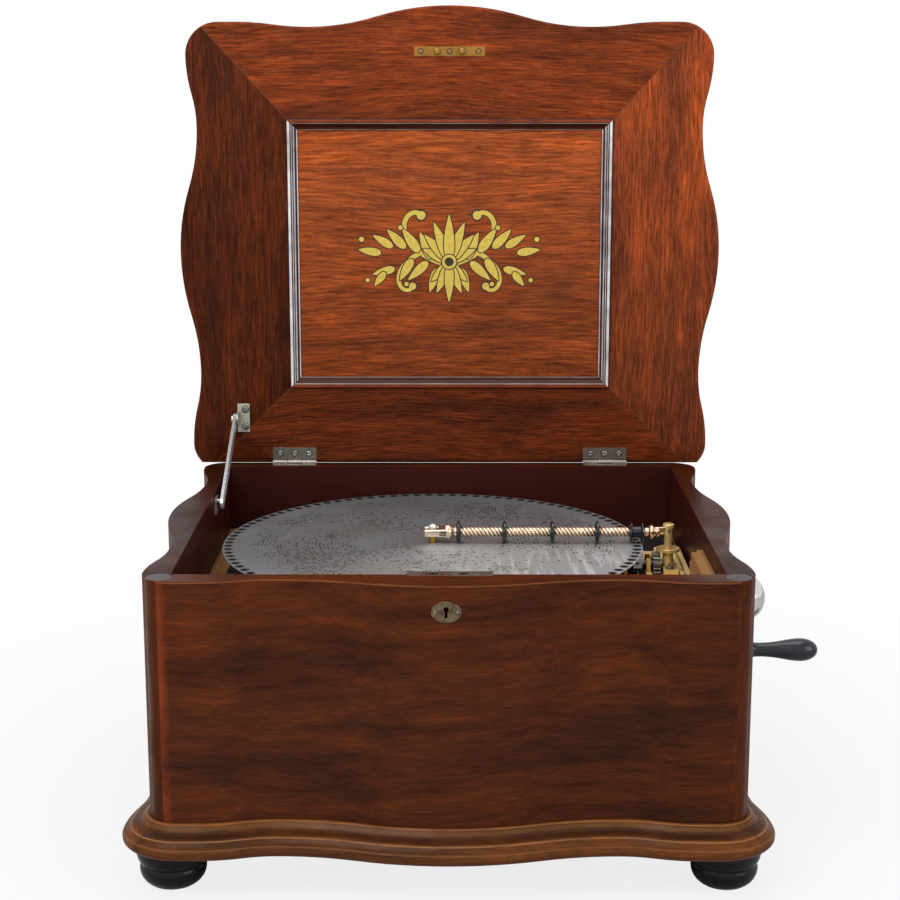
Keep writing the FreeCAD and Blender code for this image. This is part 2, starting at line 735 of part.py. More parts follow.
def combs():
    long = STAR_COUNT * STAR_PITCH
    x0 = STAR_FIRST_X - 4
    bases = []
    for name, side in (("comb_front", -1), ("comb_back", 1)):
        inner = DISC_Y + side * 46
        outer = DISC_Y + side * 68
        base = box(x0, x0 + long + 6, min(inner, outer), max(inner, outer), BED_TOP, COMB_Z)
        mine = []
        for i in range(5):
            x = x0 + 12 + i * (long - 18) / 4
            mine.append(screw(x, DISC_Y + side * 56, COMB_Z + COMB_THICK, 4, 14))
        nodes[name] = bored(comb(side), mine)
        bases.append(bored(base, mine))
        fasteners["case_screws"] += mine
    nodes["comb_bases"] = group(bases)


# Disc, spindle and sprocket


def disc():
    plate = rod(DISC_X, DISC_Y, DISC_LOW, Z, DISC_RADIUS, DISC_THICK)
    plate = plate.cut(rod(DISC_X, DISC_Y, DISC_LOW - 1, Z, SPINDLE_RADIUS + RUNNING, 4))
    holes = []
    for i in range(RIM_HOLES):
        turn = 2 * math.pi * i / RIM_HOLES
        x = DISC_X + HOLE_RING * math.cos(turn)
        y = DISC_Y + HOLE_RING * math.sin(turn)
        corners = []
        for k in range(8):
            angle = turn + math.pi * (k + 0.5) / 4
            across = x + HOLE_RADIUS * math.cos(angle)
            corners.append((across, y + HOLE_RADIUS * math.sin(angle), DISC_LOW - 1))
        holes.append(prism(corners, Z, 3))
    nodes["disc"] = plate.cut(holes)


def spindle():
    low = BED_TOP
    high = DISC_LOW - APART - low
    profile = [
        (0, 0), (0, 17), (3, 17), (5, 9), (high - 4, 7), (high - 2, 11), (high, 11),
        (high, SPINDLE_RADIUS), (high + 10.6, SPINDLE_RADIUS), (high + 12.4, 1.8), (high + 12.4, 0),
    ]
    nodes["centre_spindle"] = turned(profile, (DISC_X, DISC_Y, low), Z)


def gear(teeth, x, y, z, bore, phase):
    """A spur gear on an axis along X, with play in its teeth; phase is in tooth steps."""
    pitch = MODULE * teeth / 2
    step = 2 * math.pi / teeth
    tip = pitch + 0.85 * MODULE
    root = pitch - 1.15 * MODULE
    shape = ((root, -0.30), (pitch, -0.215), (tip, -0.10), (tip, 0.10), (pitch, 0.215), (root, 0.30))
    points = []
    for i in range(teeth):
        for radius, share in shape:
            angle = (i + phase + share) * step
            points.append((x, y + radius * math.sin(angle), z + radius * math.cos(angle)))
    wheel = prism(points, X, GEAR_WIDE)
    return wheel.cut(rod(x - 1, y, z, X, bore, GEAR_WIDE + 2))


def barrel_centre():
    """The barrel's axis: in mesh with the sprocket's pinion and with the crank's pinion."""
    dy = DISC_Y - CRANK_Y
    dz = SPROCKET_Z - CRANK_Z
    apart = math.hypot(dy, dz)
    along = (WINDING_TO_CRANK ** 2 - GREAT_TO_SPROCKET ** 2 + apart ** 2) / (2 * apart)
    across = math.sqrt(WINDING_TO_CRANK ** 2 - along ** 2)
    y = CRANK_Y + along * dy / apart + across * dz / apart
    z = CRANK_Z + along * dz / apart - across * dy / apart
    return y, z


def mesh_phase(teeth, own, other, other_teeth, other_phase):
    """The phase that puts a gap of this gear where the other gear has a tooth."""
    toward_other = math.atan2(other[0] - own[0], other[1] - own[1])
    toward_own = math.atan2(own[0] - other[0], own[1] - other[1])
    other_share = toward_own * other_teeth / (2 * math.pi) - other_phase
    own_share = toward_other * teeth / (2 * math.pi)
    return own_share + other_share + 0.5


def sprocket():
    x, y, z = SPROCKET_X, DISC_Y, SPROCKET_Z
    flats = []
    hub_radius = PIN_ROOT * 1.08
    for i in range(SPROCKET_PINS):
        angle = 2 * math.pi * (i + 0.5) / SPROCKET_PINS
        flats.append((x - 4, y + hub_radius * math.sin(angle), z + hub_radius * math.cos(angle)))
    hub = prism(flats, X, 8)
    flange = rod(x - 6, y, z, X, 9, 12)
    pins = []
    for i in range(SPROCKET_PINS):
        angle = 2 * math.pi * i / SPROCKET_PINS
        away = Vector(0, math.sin(angle), math.cos(angle))
        start = Vector(x, y, z) + away * (PIN_ROOT - 1)
        pins.append(Part.makeCone(2.1, 1.0, PIN_TIP - PIN_ROOT + 1, start, away))
    wheel = fuse([hub, flange] + pins)
    nodes["sprocket"] = wheel.cut(rod(x - 8, y, z, X, 4, 16))
    shaft = rod(163, y, z, X, 4, GEAR_X + GEAR_WIDE + 0.5 - 163)
    nodes["sprocket_shaft"] = fuse([shaft, gear(PINION_TEETH, GEAR_X, y, z, 3, 0)])
    bearings = []
    for x0, foot in ((163.5, BED_TOP), (185, BED_TOP + 8)):
        sides = ((x0, y - 13, foot), (x0, y + 13, foot), (x0, y + 7.5, z + 7), (x0, y - 7.5, z + 7))
        bearings.append(prism(sides, X, 4).cut(rod(x0 - 1, y, z, X, 4 + RUNNING, 6)))
    return bearings


# Spring motor, governor and crank


def motor():
    y, z = barrel_centre()
    own = (y, z)
    great_phase = mesh_phase(GREAT_TEETH, own, (DISC_Y, SPROCKET_Z), PINION_TEETH, 0)
    bore = ARBOR_RADIUS + RUNNING
    profile = [
        (0, bore), (0, 34), (2, BARREL_RADIUS), (64, BARREL_RADIUS), (66, 34), (66, 18), (69, 18),
        (69, bore),
    ]
    nodes["spring_barrel"] = turned(profile, (BARREL_X, y, z), X)
    wheel = gear(GREAT_TEETH, GEAR_X, y, z, bore, great_phase)
    for i in range(5):
        angle = 2 * math.pi * i / 5
        hole_y = y + 34 * math.sin(angle)
        hole_z = z + 34 * math.cos(angle)
        wheel = wheel.cut(rod(GEAR_X - 1, hole_y, hole_z, X, 11, GEAR_WIDE + 2))
    boss = turned([(0, bore), (0, 12), (0.5, 12), (0.5, bore)], (GEAR_X - 0.5, y, z), X)
    nodes["great_wheel"] = wheel.fuse(boss)
    nodes["winding_arbor"] = rod(112, y, z, X, ARBOR_RADIUS, 104)
    winding_phase = mesh_phase(WINDING_TEETH, own, (CRANK_Y, CRANK_Z), CRANK_TEETH, 0)
    nodes["winding_wheel"] = gear(WINDING_TEETH, WINDING_X, y, z, ARBOR_RADIUS, winding_phase)
    plates = []
    for x in (114.5, 209):
        plate = box(x, x + 4, y - 52, y + 48, z - 44, BED_LOW)
        plate = plate.cut(rod(x - 1, y, z, X, ARBOR_RADIUS + RUNNING, 6))
        if x > 200:
            plate = plate.cut(rod(x - 1, CRANK_Y, CRANK_Z, X, CRANK_SHAFT_RADIUS + RUNNING, 6))
        plates.append(plate)
    nodes["motor_plates"] = group(plates)
    governor(own, great_phase)


def governor(barrel, great_phase):
    """A shaft in mesh with the great wheel, its housing, and the fan that brakes the disc."""
    y = barrel[0] - GREAT_TO_SPROCKET
    z = barrel[1]
    phase = mesh_phase(PINION_TEETH, (y, z), barrel, GREAT_TEETH, great_phase)
    pinion = gear(PINION_TEETH, GEAR_X, y, z, 2.5, phase)
    nodes["governor_shaft"] = fuse([rod(168, y, z, X, 3.5, 31), pinion])
    housing = box(FAN_X - 22, FAN_X + 22, y - 20, y + 20, z - 20, BED_LOW)
    housing = housing.cut(rod(166, y, z, X, 3.5 + RUNNING, 12))
    nodes["governor_housing"] = housing.cut(rod(FAN_X, y, z - 21, Z, 2.5 + RUNNING, 16))
    spindle_rod = rod(FAN_X, y, z - 42, Z, 2.5, 36)
    hub = rod(FAN_X, y, z - 41, Z, 5, 17)
    blades = box(FAN_X - 20, FAN_X + 20, y - 0.8, y + 0.8, z - 40, z - 25)
    nodes["governor_fan"] = fuse([spindle_rod, blades, hub])


def bushing_seat():
    seat = rod(SIDE_TIP - BUSH_SUNK, CRANK_Y, CRANK_Z, X, 21, 10)
    return fuse([seat, rod(CAVITY_HALF - 1, CRANK_Y, CRANK_Z, X, 10, 60)])


def crank():
    y, z = CRANK_Y, CRANK_Z
    flat = SIDE_TIP - BUSH_SUNK
    bush = fuse([
        rod(CAVITY_HALF, y, z, X, 10, flat - CAVITY_HALF),
        turned([(0, 0), (0, 21), (2, 21), (4.2, 14), (4.2, 0)], (flat, y, z), X),
    ])
    nodes["crank_bush"] = bush.cut(rod(200, y, z, X, CRANK_SHAFT_RADIUS + RUNNING, 100))
    shaft = rod(199.5, y, z, X, CRANK_SHAFT_RADIUS, 85)
    nodes["crank_shaft"] = fuse([shaft, gear(CRANK_TEETH, WINDING_X, y, z, 5, 0)])
    arm_x = CRANK_ARM_X
    thick = CRANK_ARM_THICK
    hand_z = z - GRIP_DROP
    flanks = (
        (arm_x, y - 11, z), (arm_x, y + 11, z), (arm_x, y + 7.5, hand_z), (arm_x, y - 7.5, hand_z),
    )
    arm = fuse([
        prism(flanks, X, thick),
        rod(arm_x, y, z, X, 13, thick),
        rod(arm_x, y, hand_z, X, 8.5, thick),
    ])
    arm = arm.cut(rod(arm_x - 1, y, z, X, CRANK_SHAFT_RADIUS, thick + 2))
    nodes["crank_arm"] = arm.cut(rod(arm_x - 1, y, hand_z, X, 3, thick + 2))
    profile = [
        (0, CRANK_SHAFT_RADIUS), (0, 20), (1.5, 22), (6, 22), (12, 20), (18, 15.5), (22, 9),
        (23, 0), (9.5, 0), (9.5, CRANK_SHAFT_RADIUS),
    ]
    nodes["crank_cap"] = turned(profile, (arm_x + thick, y, z), X)
    collar = rod(arm_x + thick, y, hand_z, X, 7.5, 8)
    nodes["grip_pin"] = fuse([rod(arm_x, y, hand_z, X, 3, 76), collar])
    profile = [
        (0, 3 + RUNNING), (0, 8), (2, 9), (4, 7.2), (14, 6.6), (28, 7.6), (40, 10), (49, 11.2),
        (58, 10.4), (65, 7), (68.5, 0), (63, 0), (63, 3 + RUNNING),
    ]
    nodes["crank_grip"] = turned(profile, (arm_x + thick + 8 + APART, y, hand_z), X)


# Pressure bar


def pressure_bar():
    fork_x = DISC_X - 8
    fork = box(fork_x, DISC_X + 14, DISC_Y - 8, DISC_Y + 8, BAR_Z - 4, BAR_Z + 4)
    slot = fuse([
        box(fork_x - 1, DISC_X, DISC_Y - 4, DISC_Y + 4, BAR_Z - 5, BAR_Z + 5),
        rod(DISC_X, DISC_Y, BAR_Z - 5, Z, 4, 10),
    ])
    end = turned([(0, 0), (0, 8), (4, 8), (8, 6), (8, 0)], (DISC_X + 12, DISC_Y, BAR_Z), X)
    bar_x = DISC_X + 18
    pieces = [fork.cut(slot), end, rod(bar_x, DISC_Y, BAR_Z, X, BAR_CORE, 188 - bar_x)]
    starts = [bar_x] + [x + ROLLER_WIDE / 2 + 0.6 for x in ROLLER_X]
    ends = [x - ROLLER_WIDE / 2 - 0.6 for x in ROLLER_X] + [SPROCKET_X - 8.0]
    for x0, x1 in zip(starts, ends):
        pieces.append(rod(x0, DISC_Y, BAR_Z, X, BAR_RADIUS, x1 - x0))
    pieces.append(rod(SPROCKET_X + 8, DISC_Y, BAR_Z, X, BAR_RADIUS, 8))
    knob = [(0, 0), (0, 4), (2, 6.5), (5, 6.5), (8, 4), (8, 0)]
    pieces.append(turned(knob, (SPROCKET_X + 13, DISC_Y, BAR_Z), X))
    half = TONGUE_THICK / 2
    low = BAR_PIVOT_Z - TONGUE_HALF
    high = BAR_PIVOT_Z + TONGUE_HALF
    pieces.append(box(SPROCKET_X + 18, PILLAR_X, DISC_Y - half, DISC_Y + half, low, high))
    pieces.append(rod(PILLAR_X, DISC_Y - half, BAR_PIVOT_Z, Y, TONGUE_HALF, TONGUE_THICK))
    pin_way = rod(PILLAR_X, DISC_Y - 10, BAR_PIVOT_Z, Y, BAR_PIN_RADIUS + RUNNING, 20)
    nodes["pressure_bar"] = fuse(pieces).cut(pin_way)


def rollers():
    """Four plain rollers along the bar, and a grooved one that keeps the rim on the sprocket."""
    bore = BAR_CORE + RUNNING
    r = ROLLER_RADIUS
    wide = ROLLER_WIDE
    plain = [(0, bore), (0, r - 1), (0.8, r), (wide - 0.8, r), (wide, r - 1), (wide, bore)]
    for i, x in enumerate(ROLLER_X):
        nodes["roller_" + str(i + 1)] = turned(plain, (x - wide / 2, DISC_Y, BAR_Z), X)
    grooved = [
        (0, bore), (0, r - 1), (0.8, r), (3, r), (3.5, r - 1), (3.5, 5.5), (10.5, 5.5),
        (10.5, r - 1), (11, r), (13.2, r), (14, r - 1), (14, bore),
    ]
    nodes["roller_edge"] = turned(grooved, (SPROCKET_X - 7, DISC_Y, BAR_Z), X)


def pillar():
    x, y = PILLAR_X, DISC_Y
    foot = box(x - 5.5, x + 9, y - 17, y + 8, BED_TOP + 4, BED_TOP + 11)
    column = turned(
        [(0, 0), (0, 5), (14.4, 5), (14.4, 11), (17, 11), (17, PILLAR_RADIUS), (36, PILLAR_RADIUS),
         (37, 5.2), (40, 5.2), (40.6, 4), (40.6, 0)],
        (x, y, BED_TOP + 11), Z,
    )
    gap = TONGUE_THICK / 2 + APART
    slot = box(x - 12, x + 12, y - gap, y + gap, BAR_PIVOT_Z - TONGUE_HALF - 0.8, 300)
    pin = rod(x, y - 5, BAR_PIVOT_Z, Y, BAR_PIN_RADIUS, 10)
    nodes["bar_pillar"] = fuse([foot, column]).cut(slot).cut(pin)
    nodes["hinge_pins"] = group([nodes["hinge_pins"], pin])
    holder = screw(x + 1, y - 11.5, BED_TOP + 11, 3.6, 9)
    fasteners["case_screws"].append(holder)
    nodes["bar_pillar"] = nodes["bar_pillar"].cut(holder)
    nodes["bedplate_end"] = bored(nodes["bedplate_end"], [holder])


def stop_lever():
    x, y, z = STOP_X, STOP_Y, BED_TOP
    stud = fuse([rod(x, y, z - 5, Z, 3, 12), rod(x, y, z + 6, Z, 5, 1.5)])
    fasteners["case_screws"].append(stud)
    nodes["bedplate"] = nodes["bedplate"].cut(stud)
    arm = fuse([
        rod(x, y, z + 1, Z, 7, 4),
        box(x - 4, x + 4, y - 40, y, z + 1, z + 5),
        turned([(0, 0), (0, 3), (14, 3), (16, 6), (20, 7), (24, 5), (25, 0)], (x, y - 38, z + 3), Z),
    ])
    nodes["stop_lever"] = arm.cut(rod(x, y, z, Z, 3 + RUNNING, 10))


def build():
    case_boards()
    base_frame()
    feet()
    bed_rails()
    lid_frame()
    lid_panel()
    hinges()
    stay()
    lock()
    escutcheon()
    bedplate()
    brackets = star_wheels()
    combs()
    disc()
    spindle()
    nodes["shaft_brackets"] = group(brackets + sprocket())
    motor()
    crank()
    pressure_bar()
    rollers()
    pillar()
    stop_lever()
    for name, pieces in fasteners.items():
        nodes[name] = group(pieces)


def save():
    os.makedirs("parts", exist_ok=True)
    for name, shape in nodes.items():
        shape.exportStep("parts/" + name + ".step")
    print(len(nodes), "nodes")


build()
save()
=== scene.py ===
import json
import math

import bmesh
import bpy
from bpy.props import FloatProperty, FloatVectorProperty, IntProperty, PointerProperty
from mathutils import Matrix, Vector

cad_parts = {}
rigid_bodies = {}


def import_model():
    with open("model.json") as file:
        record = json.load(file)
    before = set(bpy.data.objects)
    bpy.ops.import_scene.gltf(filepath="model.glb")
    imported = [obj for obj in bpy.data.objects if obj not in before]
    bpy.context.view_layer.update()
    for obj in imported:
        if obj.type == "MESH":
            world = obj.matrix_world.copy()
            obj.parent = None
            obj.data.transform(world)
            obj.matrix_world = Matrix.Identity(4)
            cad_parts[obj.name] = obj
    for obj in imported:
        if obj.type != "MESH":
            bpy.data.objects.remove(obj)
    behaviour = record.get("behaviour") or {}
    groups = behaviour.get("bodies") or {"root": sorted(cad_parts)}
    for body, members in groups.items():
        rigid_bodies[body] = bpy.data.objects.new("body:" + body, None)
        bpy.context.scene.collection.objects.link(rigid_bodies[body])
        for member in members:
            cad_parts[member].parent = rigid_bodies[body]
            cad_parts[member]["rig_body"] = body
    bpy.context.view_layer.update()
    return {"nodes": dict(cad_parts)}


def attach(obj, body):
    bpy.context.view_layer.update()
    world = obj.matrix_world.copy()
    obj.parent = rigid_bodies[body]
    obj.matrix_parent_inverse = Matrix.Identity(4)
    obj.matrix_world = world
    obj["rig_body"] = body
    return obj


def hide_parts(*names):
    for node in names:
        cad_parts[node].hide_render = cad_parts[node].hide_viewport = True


bl_info = {
    "name": "Disc music box",
    "version": (1, 0, 0),
    "blender": (4, 5, 0),
    "location": "3D view, sidebar, Music box",
    "description": "Polished wood, plated metal and turned details for a disc music box",
    "category": "Add Mesh",
}

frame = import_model()

MM = 0.001
ACROSS_CASE = "ACROSS"
FRONT_TO_BACK = "DEPTH"
UPRIGHT = "UPRIGHT"

# Places that the painted finishes follow
CASE_HALF_WIDTH = 230.9 * MM
CASE_FRONT = -206.6 * MM
CASE_BACK = 206.3 * MM
CASE_RIM = 279.0 * MM
DISC_MIDDLE = (-15.5, 4.0)
RIM_HOLES = 98
HOLE_RING = 191.5 * MM
HOLE_PITCH = 12.28 * MM
TRACK_PITCH = 3.6 * MM
FIRST_TRACK = 27 * MM
LAST_TRACK = 171 * MM


def paint(red, green, blue):
    """A screen colour of 0 to 255 as the linear colour that a shader takes."""
    shares = (red / 255, green / 255, blue / 255)
    return tuple(s / 12.92 if s <= 0.04045 else ((s + 0.055) / 1.055) ** 2.4 for s in shares)


def colour_setting(name, description, default):
    return FloatVectorProperty(
        name=name, description=description, subtype="COLOR", size=3, min=0, max=1, default=default
    )


def length_setting(name, description, default):
    return FloatProperty(name=name, description=description, unit="LENGTH", default=default, min=0)


class MusicBoxWood(bpy.types.PropertyGroup):
    case: colour_setting("Case", "Polished mahogany of the case", paint(74, 36, 18))
    lid: colour_setting("Lid", "Mahogany of the lid's frame", paint(116, 55, 29))
    panel: colour_setting("Panel", "Lighter mahogany of the lid's panel", paint(144, 72, 37))
    stain: colour_setting("Inside", "Dark stain inside the case", paint(62, 26, 24))
    moulding: colour_setting("Moulding", "Mahogany of the base moulding", paint(94, 55, 28))
    spruce: colour_setting("Spruce", "Plain rails inside the case", paint(176, 128, 72))
    ebony: colour_setting("Ebonised", "Black lacquer of feet and grip", paint(12, 10, 11))
    edge_round: length_setting("Edge", "How far a board's edges are rounded", 0.9 * MM)
    moulding_round: length_setting("Moulding edge", "Rounding of the base moulding", 1.6 * MM)


class MusicBoxMetal(bpy.types.PropertyGroup):
    gilt: colour_setting("Gilt", "Gilt lacquer of the bedplate's end", paint(224, 182, 118))
    bar: colour_setting("Bar", "Pale worn gilding of the rope-turned bar", paint(246, 222, 192))
    brass: colour_setting("Brass", "Brass of the works", paint(176, 132, 62))
    steel: colour_setting("Steel", "Steel of combs, stars and screws", paint(150, 148, 145))
    disc: colour_setting("Disc", "Dull steel of the tune disc", paint(156, 160, 162))
    japan: colour_setting("Black", "Black japan on cast iron", paint(30, 30, 33))
    bar_radius: length_setting("Bar", "Radius of the rope-turned bar", 4.7 * MM)
    strands: IntProperty(
        name="Strands", description="Strands of the rope turning", default=4, min=2
    )
    lead: length_setting("Lead", "Length in which a strand goes once round", 15 * MM)


class MusicBoxStage(bpy.types.PropertyGroup):
    lens: FloatProperty(
        name="Lens", description="Focal length", subtype="DISTANCE_CAMERA", default=74.48
    )
    camera_side: length_setting("Side", "Camera to the right of the middle", 3.7 * MM)
    camera_back: length_setting("Back", "Camera in front of the middle", 1.691)
    camera_height: length_setting("Height", "Camera above the floor", 0.705)
    tilt: FloatProperty(
        name="Tilt", description="How far the camera looks down", subtype="ANGLE",
        default=math.radians(12.15),
    )
    turn: FloatProperty(
        name="Turn", description="How far the camera looks to the left", subtype="ANGLE",
        default=math.radians(0.1),
    )
    key: FloatProperty(name="Key", description="Power of the main lamp in watts", default=34)
    fill: FloatProperty(name="Fill", description="Power of the fill lamp in watts", default=12)


# Shader recipes


class Recipe:
    """Places and links the nodes of one material or node group."""

    def __init__(self, tree):
        self.tree = tree

    def add(self, kind, feeds=None, **settings):
        node = self.tree.nodes.new("ShaderNode" + kind)
        for key, value in settings.items():
            setattr(node, key, value)
        for socket, value in (feeds or {}).items():
            self.feed(node, socket, value)
        return node

    def feed(self, node, socket, value):
        target = node.inputs[socket]
        if isinstance(value, bpy.types.NodeSocket):
            self.tree.links.new(value, target)
        elif isinstance(value, tuple) and len(value) == 3 and target.type == "RGBA":
            target.default_value = value + (1.0,)
        else:
            target.default_value = value

    def maths(self, operation, a, b=0.0, clamp=False):
        return self.add("Math", {0: a, 1: b}, operation=operation, use_clamp=clamp).outputs[0]

    def times(self, a, b, clamp=False):
        return self.maths("MULTIPLY", a, b, clamp)

    def distance(self, x, y):
        return self.maths("SQRT", self.maths("ADD", self.times(x, x), self.times(y, y)))

    def mix(self, share, a, b, blend="MIX"):
        node = self.add("Mix", data_type="RGBA", blend_type=blend)
        self.feed(node, "Factor", share)
        self.feed(node, 6, a)
        self.feed(node, 7, b)
        return node.outputs[2]

    def tinted(self, colour, tint):
        return self.mix(1.0, colour, tint, "MULTIPLY")

    def toned(self, share, colour, tint):
        return self.mix(share, colour, self.tinted(colour, tint))

    def remap(self, value, low, high, new_low=0.0, new_high=1.0):
        feeds = {"Value": value, 1: low, 2: high, 3: new_low, 4: new_high}
        return self.add("MapRange", feeds).outputs[0]

    def stretched(self, vector, scale, place=(0, 0, 0)):
        return self.add("Mapping", {"Vector": vector, "Location": place, "Scale": scale}).outputs[0]

    def noise(self, vector, scale, detail=2.0, roughness=0.5):
        feeds = {"Vector": vector, "Scale": scale, "Detail": detail, "Roughness": roughness}
        return self.add("TexNoise", feeds).outputs[0]

    def split(self, vector):
        return self.add("SeparateXYZ", {0: vector}).outputs

    def joined(self, x, y, z):
        return self.add("CombineXYZ", {0: x, 1: y, 2: z}).outputs[0]

    def bumped(self, shader, height, strength, distance, normal=None):
        """Gives the surface shader fine relief, on rounded normals where they are given."""
        bump = self.add("Bump", {"Height": height, "Strength": strength, "Distance": distance})
        if normal is not None:
            self.feed(bump, "Normal", normal)
        self.feed(shader, "Normal", bump.outputs[0])


def shader_group(name, inputs, outputs):
    """A new node group with named sockets, its recipe and its two end nodes."""
    tree = bpy.data.node_groups.new(name, "ShaderNodeTree")
    for label, kind in inputs:
        tree.interface.new_socket(label, in_out="INPUT", socket_type="NodeSocket" + kind)
    for label, kind in outputs:
        tree.interface.new_socket(label, in_out="OUTPUT", socket_type="NodeSocket" + kind)
    source = tree.nodes.new("NodeGroupInput")
    target = tree.nodes.new("NodeGroupOutput")
    return tree, Recipe(tree), source.outputs, target


def make_mahogany_group():
    """Smoky flames, ribbon stripes, lustrous fibres and short dark pores along the grain."""
    inputs = (
        ("Grain", "Vector"), ("Ground", "Color"), ("Mottle", "Float"), ("Ribbon", "Float"),
        ("Fibre", "Float"),
    )
    tree, r, given, out = shader_group(
        "Mahogany figure", inputs, (("Color", "Color"), ("Height", "Float"))
    )
    grain = given["Grain"]
    along, across, deep = r.split(grain)
    wander = r.noise(r.stretched(grain, (3.4, 6.0, 6.0)), 1.0, 2.0)
    across = r.maths("ADD", across, r.times(wander, 0.045))
    lined = r.joined(along, across, deep)
    flame = r.noise(r.stretched(lined, (4.2, 26.0, 26.0)), 1.0, 3.0, 0.55)
    ribbon = r.noise(r.stretched(lined, (5.0, 95.0, 95.0)), 1.0, 3.0, 0.6)
    fibre = r.noise(r.stretched(lined, (34.0, 430.0, 430.0)), 1.0, 3.0, 0.65)
    pores = r.noise(r.stretched(lined, (85.0, 1250.0, 1250.0)), 1.0, 1.0)
    drift = r.noise(r.stretched(grain, (2.0, 5.0, 5.0), (3.1, 0.4, 1.7)), 1.0, 2.0)
    fleck = r.noise(r.stretched(lined, (13.0, 78.0, 78.0), (1.3, 2.1, 0.6)), 1.0, 4.0, 0.62)
    warm = r.tinted(given["Ground"], (1.75, 1.62, 1.25))
    smoky = r.tinted(given["Ground"], (0.42, 0.52, 0.85))
    ribbon_share = r.times(r.remap(ribbon, 0.38, 0.66), given["Ribbon"])
    colour = r.mix(ribbon_share, given["Ground"], warm)
    colour = r.toned(r.times(r.remap(drift, 0.38, 0.62), 0.45), colour, (1.35, 1.12, 0.80))
    flame_share = r.times(r.remap(flame, 0.46, 0.66), given["Mottle"])
    colour = r.mix(flame_share, colour, smoky)
    dark_fleck = r.times(r.remap(fleck, 0.50, 0.68), given["Mottle"])
    colour = r.toned(dark_fleck, colour, (0.45, 0.50, 0.66))
    bright_fleck = r.times(r.remap(fleck, 0.46, 0.30), given["Mottle"])
    colour = r.toned(bright_fleck, colour, (1.70, 1.45, 1.10))
    lustre = r.times(r.remap(fibre, 0.50, 0.66), given["Fibre"])
    colour = r.toned(lustre, colour, (1.75, 1.60, 1.45))
    shade = r.times(r.remap(fibre, 0.50, 0.34), given["Fibre"])
    colour = r.toned(shade, colour, (0.50, 0.44, 0.46))
    pore_share = r.times(r.remap(pores, 0.56, 0.66, 0.0, 0.75), given["Fibre"])
    colour = r.toned(pore_share, colour, (0.32, 0.26, 0.26))
    height = r.maths("SUBTRACT", r.times(fibre, 0.35), r.times(pore_share, 0.6))
    r.feed(out, "Color", colour)
    r.feed(out, "Height", height)
    return tree


def make_wear_group():
    """Where edges and corners have worn, broken up by handling."""
    inputs = (("Vector", "Vector"), ("Radius", "Float"), ("Strength", "Float"))
    tree, r, given, out = shader_group(
        "Edge wear", inputs, (("Mask", "Float"), ("Normal", "Vector"))
    )
    rounded = r.add("Bevel", {"Radius": given["Radius"]}, samples=4).outputs[0]
    facing = r.add("NewGeometry").outputs["Normal"]
    match = r.add("VectorMath", {0: rounded, 1: facing}, operation="DOT_PRODUCT").outputs["Value"]
    edge = r.remap(r.maths("SUBTRACT", 1.0, match), 0.012, 0.10)
    patches = r.remap(r.noise(given["Vector"], 90.0, 3.0, 0.6), 0.35, 0.62)
    mask = r.times(r.times(edge, patches), given["Strength"], True)
    r.feed(out, "Mask", mask)
    r.feed(out, "Normal", rounded)
    return tree


def make_grime_group():
    """Painted shade with dust and dark polish, darkest in corners where little light reaches, and
    faint smears on open faces.
    """
    inputs = (("Vector", "Vector"), ("Reach", "Float"))
    outputs = (("Corners", "Float"), ("Smears", "Float"))
    tree, r, given, out = shader_group("Corner grime", inputs, outputs)
    shade = r.add("AmbientOcclusion", {"Distance": given["Reach"]}, samples=6).outputs["AO"]
    speckle = r.noise(given["Vector"], 55.0, 3.0, 0.6)
    closed = r.maths("SUBTRACT", 1.0, shade)
    r.feed(
        out, "Corners", r.remap(r.times(closed, r.remap(speckle, 0.2, 0.8, 0.6, 1.3)), 0.15, 0.75)
    )
    smear = r.noise(r.stretched(given["Vector"], (14.0, 14.0, 26.0)), 1.0, 4.0, 0.65)
    r.feed(out, "Smears", r.remap(smear, 0.38, 0.66))
    return tree


def make_tarnish_group():
    """Blotches of tarnish, fine brushing and small pits for plated and bare metal."""
    inputs = (("Vector", "Vector"), ("Blotch", "Float"), ("Brush", "Vector"))
    outputs = (("Tarnish", "Float"), ("Brushing", "Float"), ("Pits", "Float"))
    tree, r, given, out = shader_group("Tarnish", inputs, outputs)
    spots = r.noise(given["Vector"], given["Blotch"], 5.0, 0.62)
    r.feed(out, "Tarnish", r.remap(spots, 0.42, 0.68))
    combed = r.add(
        "VectorMath", {0: given["Vector"], 1: given["Brush"]}, operation="MULTIPLY"
    ).outputs[0]
    r.feed(out, "Brushing", r.noise(combed, 1.0, 2.0, 0.6))
    cells = r.add("TexVoronoi", {"Vector": given["Vector"], "Scale": 420.0}).outputs["Distance"]
    r.feed(out, "Pits", r.remap(cells, 0.02, 0.13, 1.0, 0.0))
    return tree


groups = {}


def placed(recipe, name, feeds):
    """One of the shared node groups, placed in a material with its own values."""
    node = recipe.tree.nodes.new("ShaderNodeGroup")
    node.node_tree = groups[name]
    for socket, value in feeds.items():
        recipe.feed(node, socket, value)
    return node.outputs


def new_material(name):
    """An empty material with its recipe, its surface shader and object coordinates."""
    material = bpy.data.materials.new(name)
    material.use_nodes = True
    tree = material.node_tree
    shader = tree.nodes["Principled BSDF"]
    recipe = Recipe(tree)
    place = recipe.add("TexCoord").outputs["Object"]
    return material, recipe, shader, place


def grain_along(r, place, direction, shift):
    """Object coordinates turned so that the first one runs with the grain."""
    x, y, z = r.split(place)
    order = {ACROSS_CASE: (x, z, y), FRONT_TO_BACK: (y, z, x), UPRIGHT: (z, x, y)}[direction]
    return r.stretched(r.joined(*order), (1, 1, 1), shift)


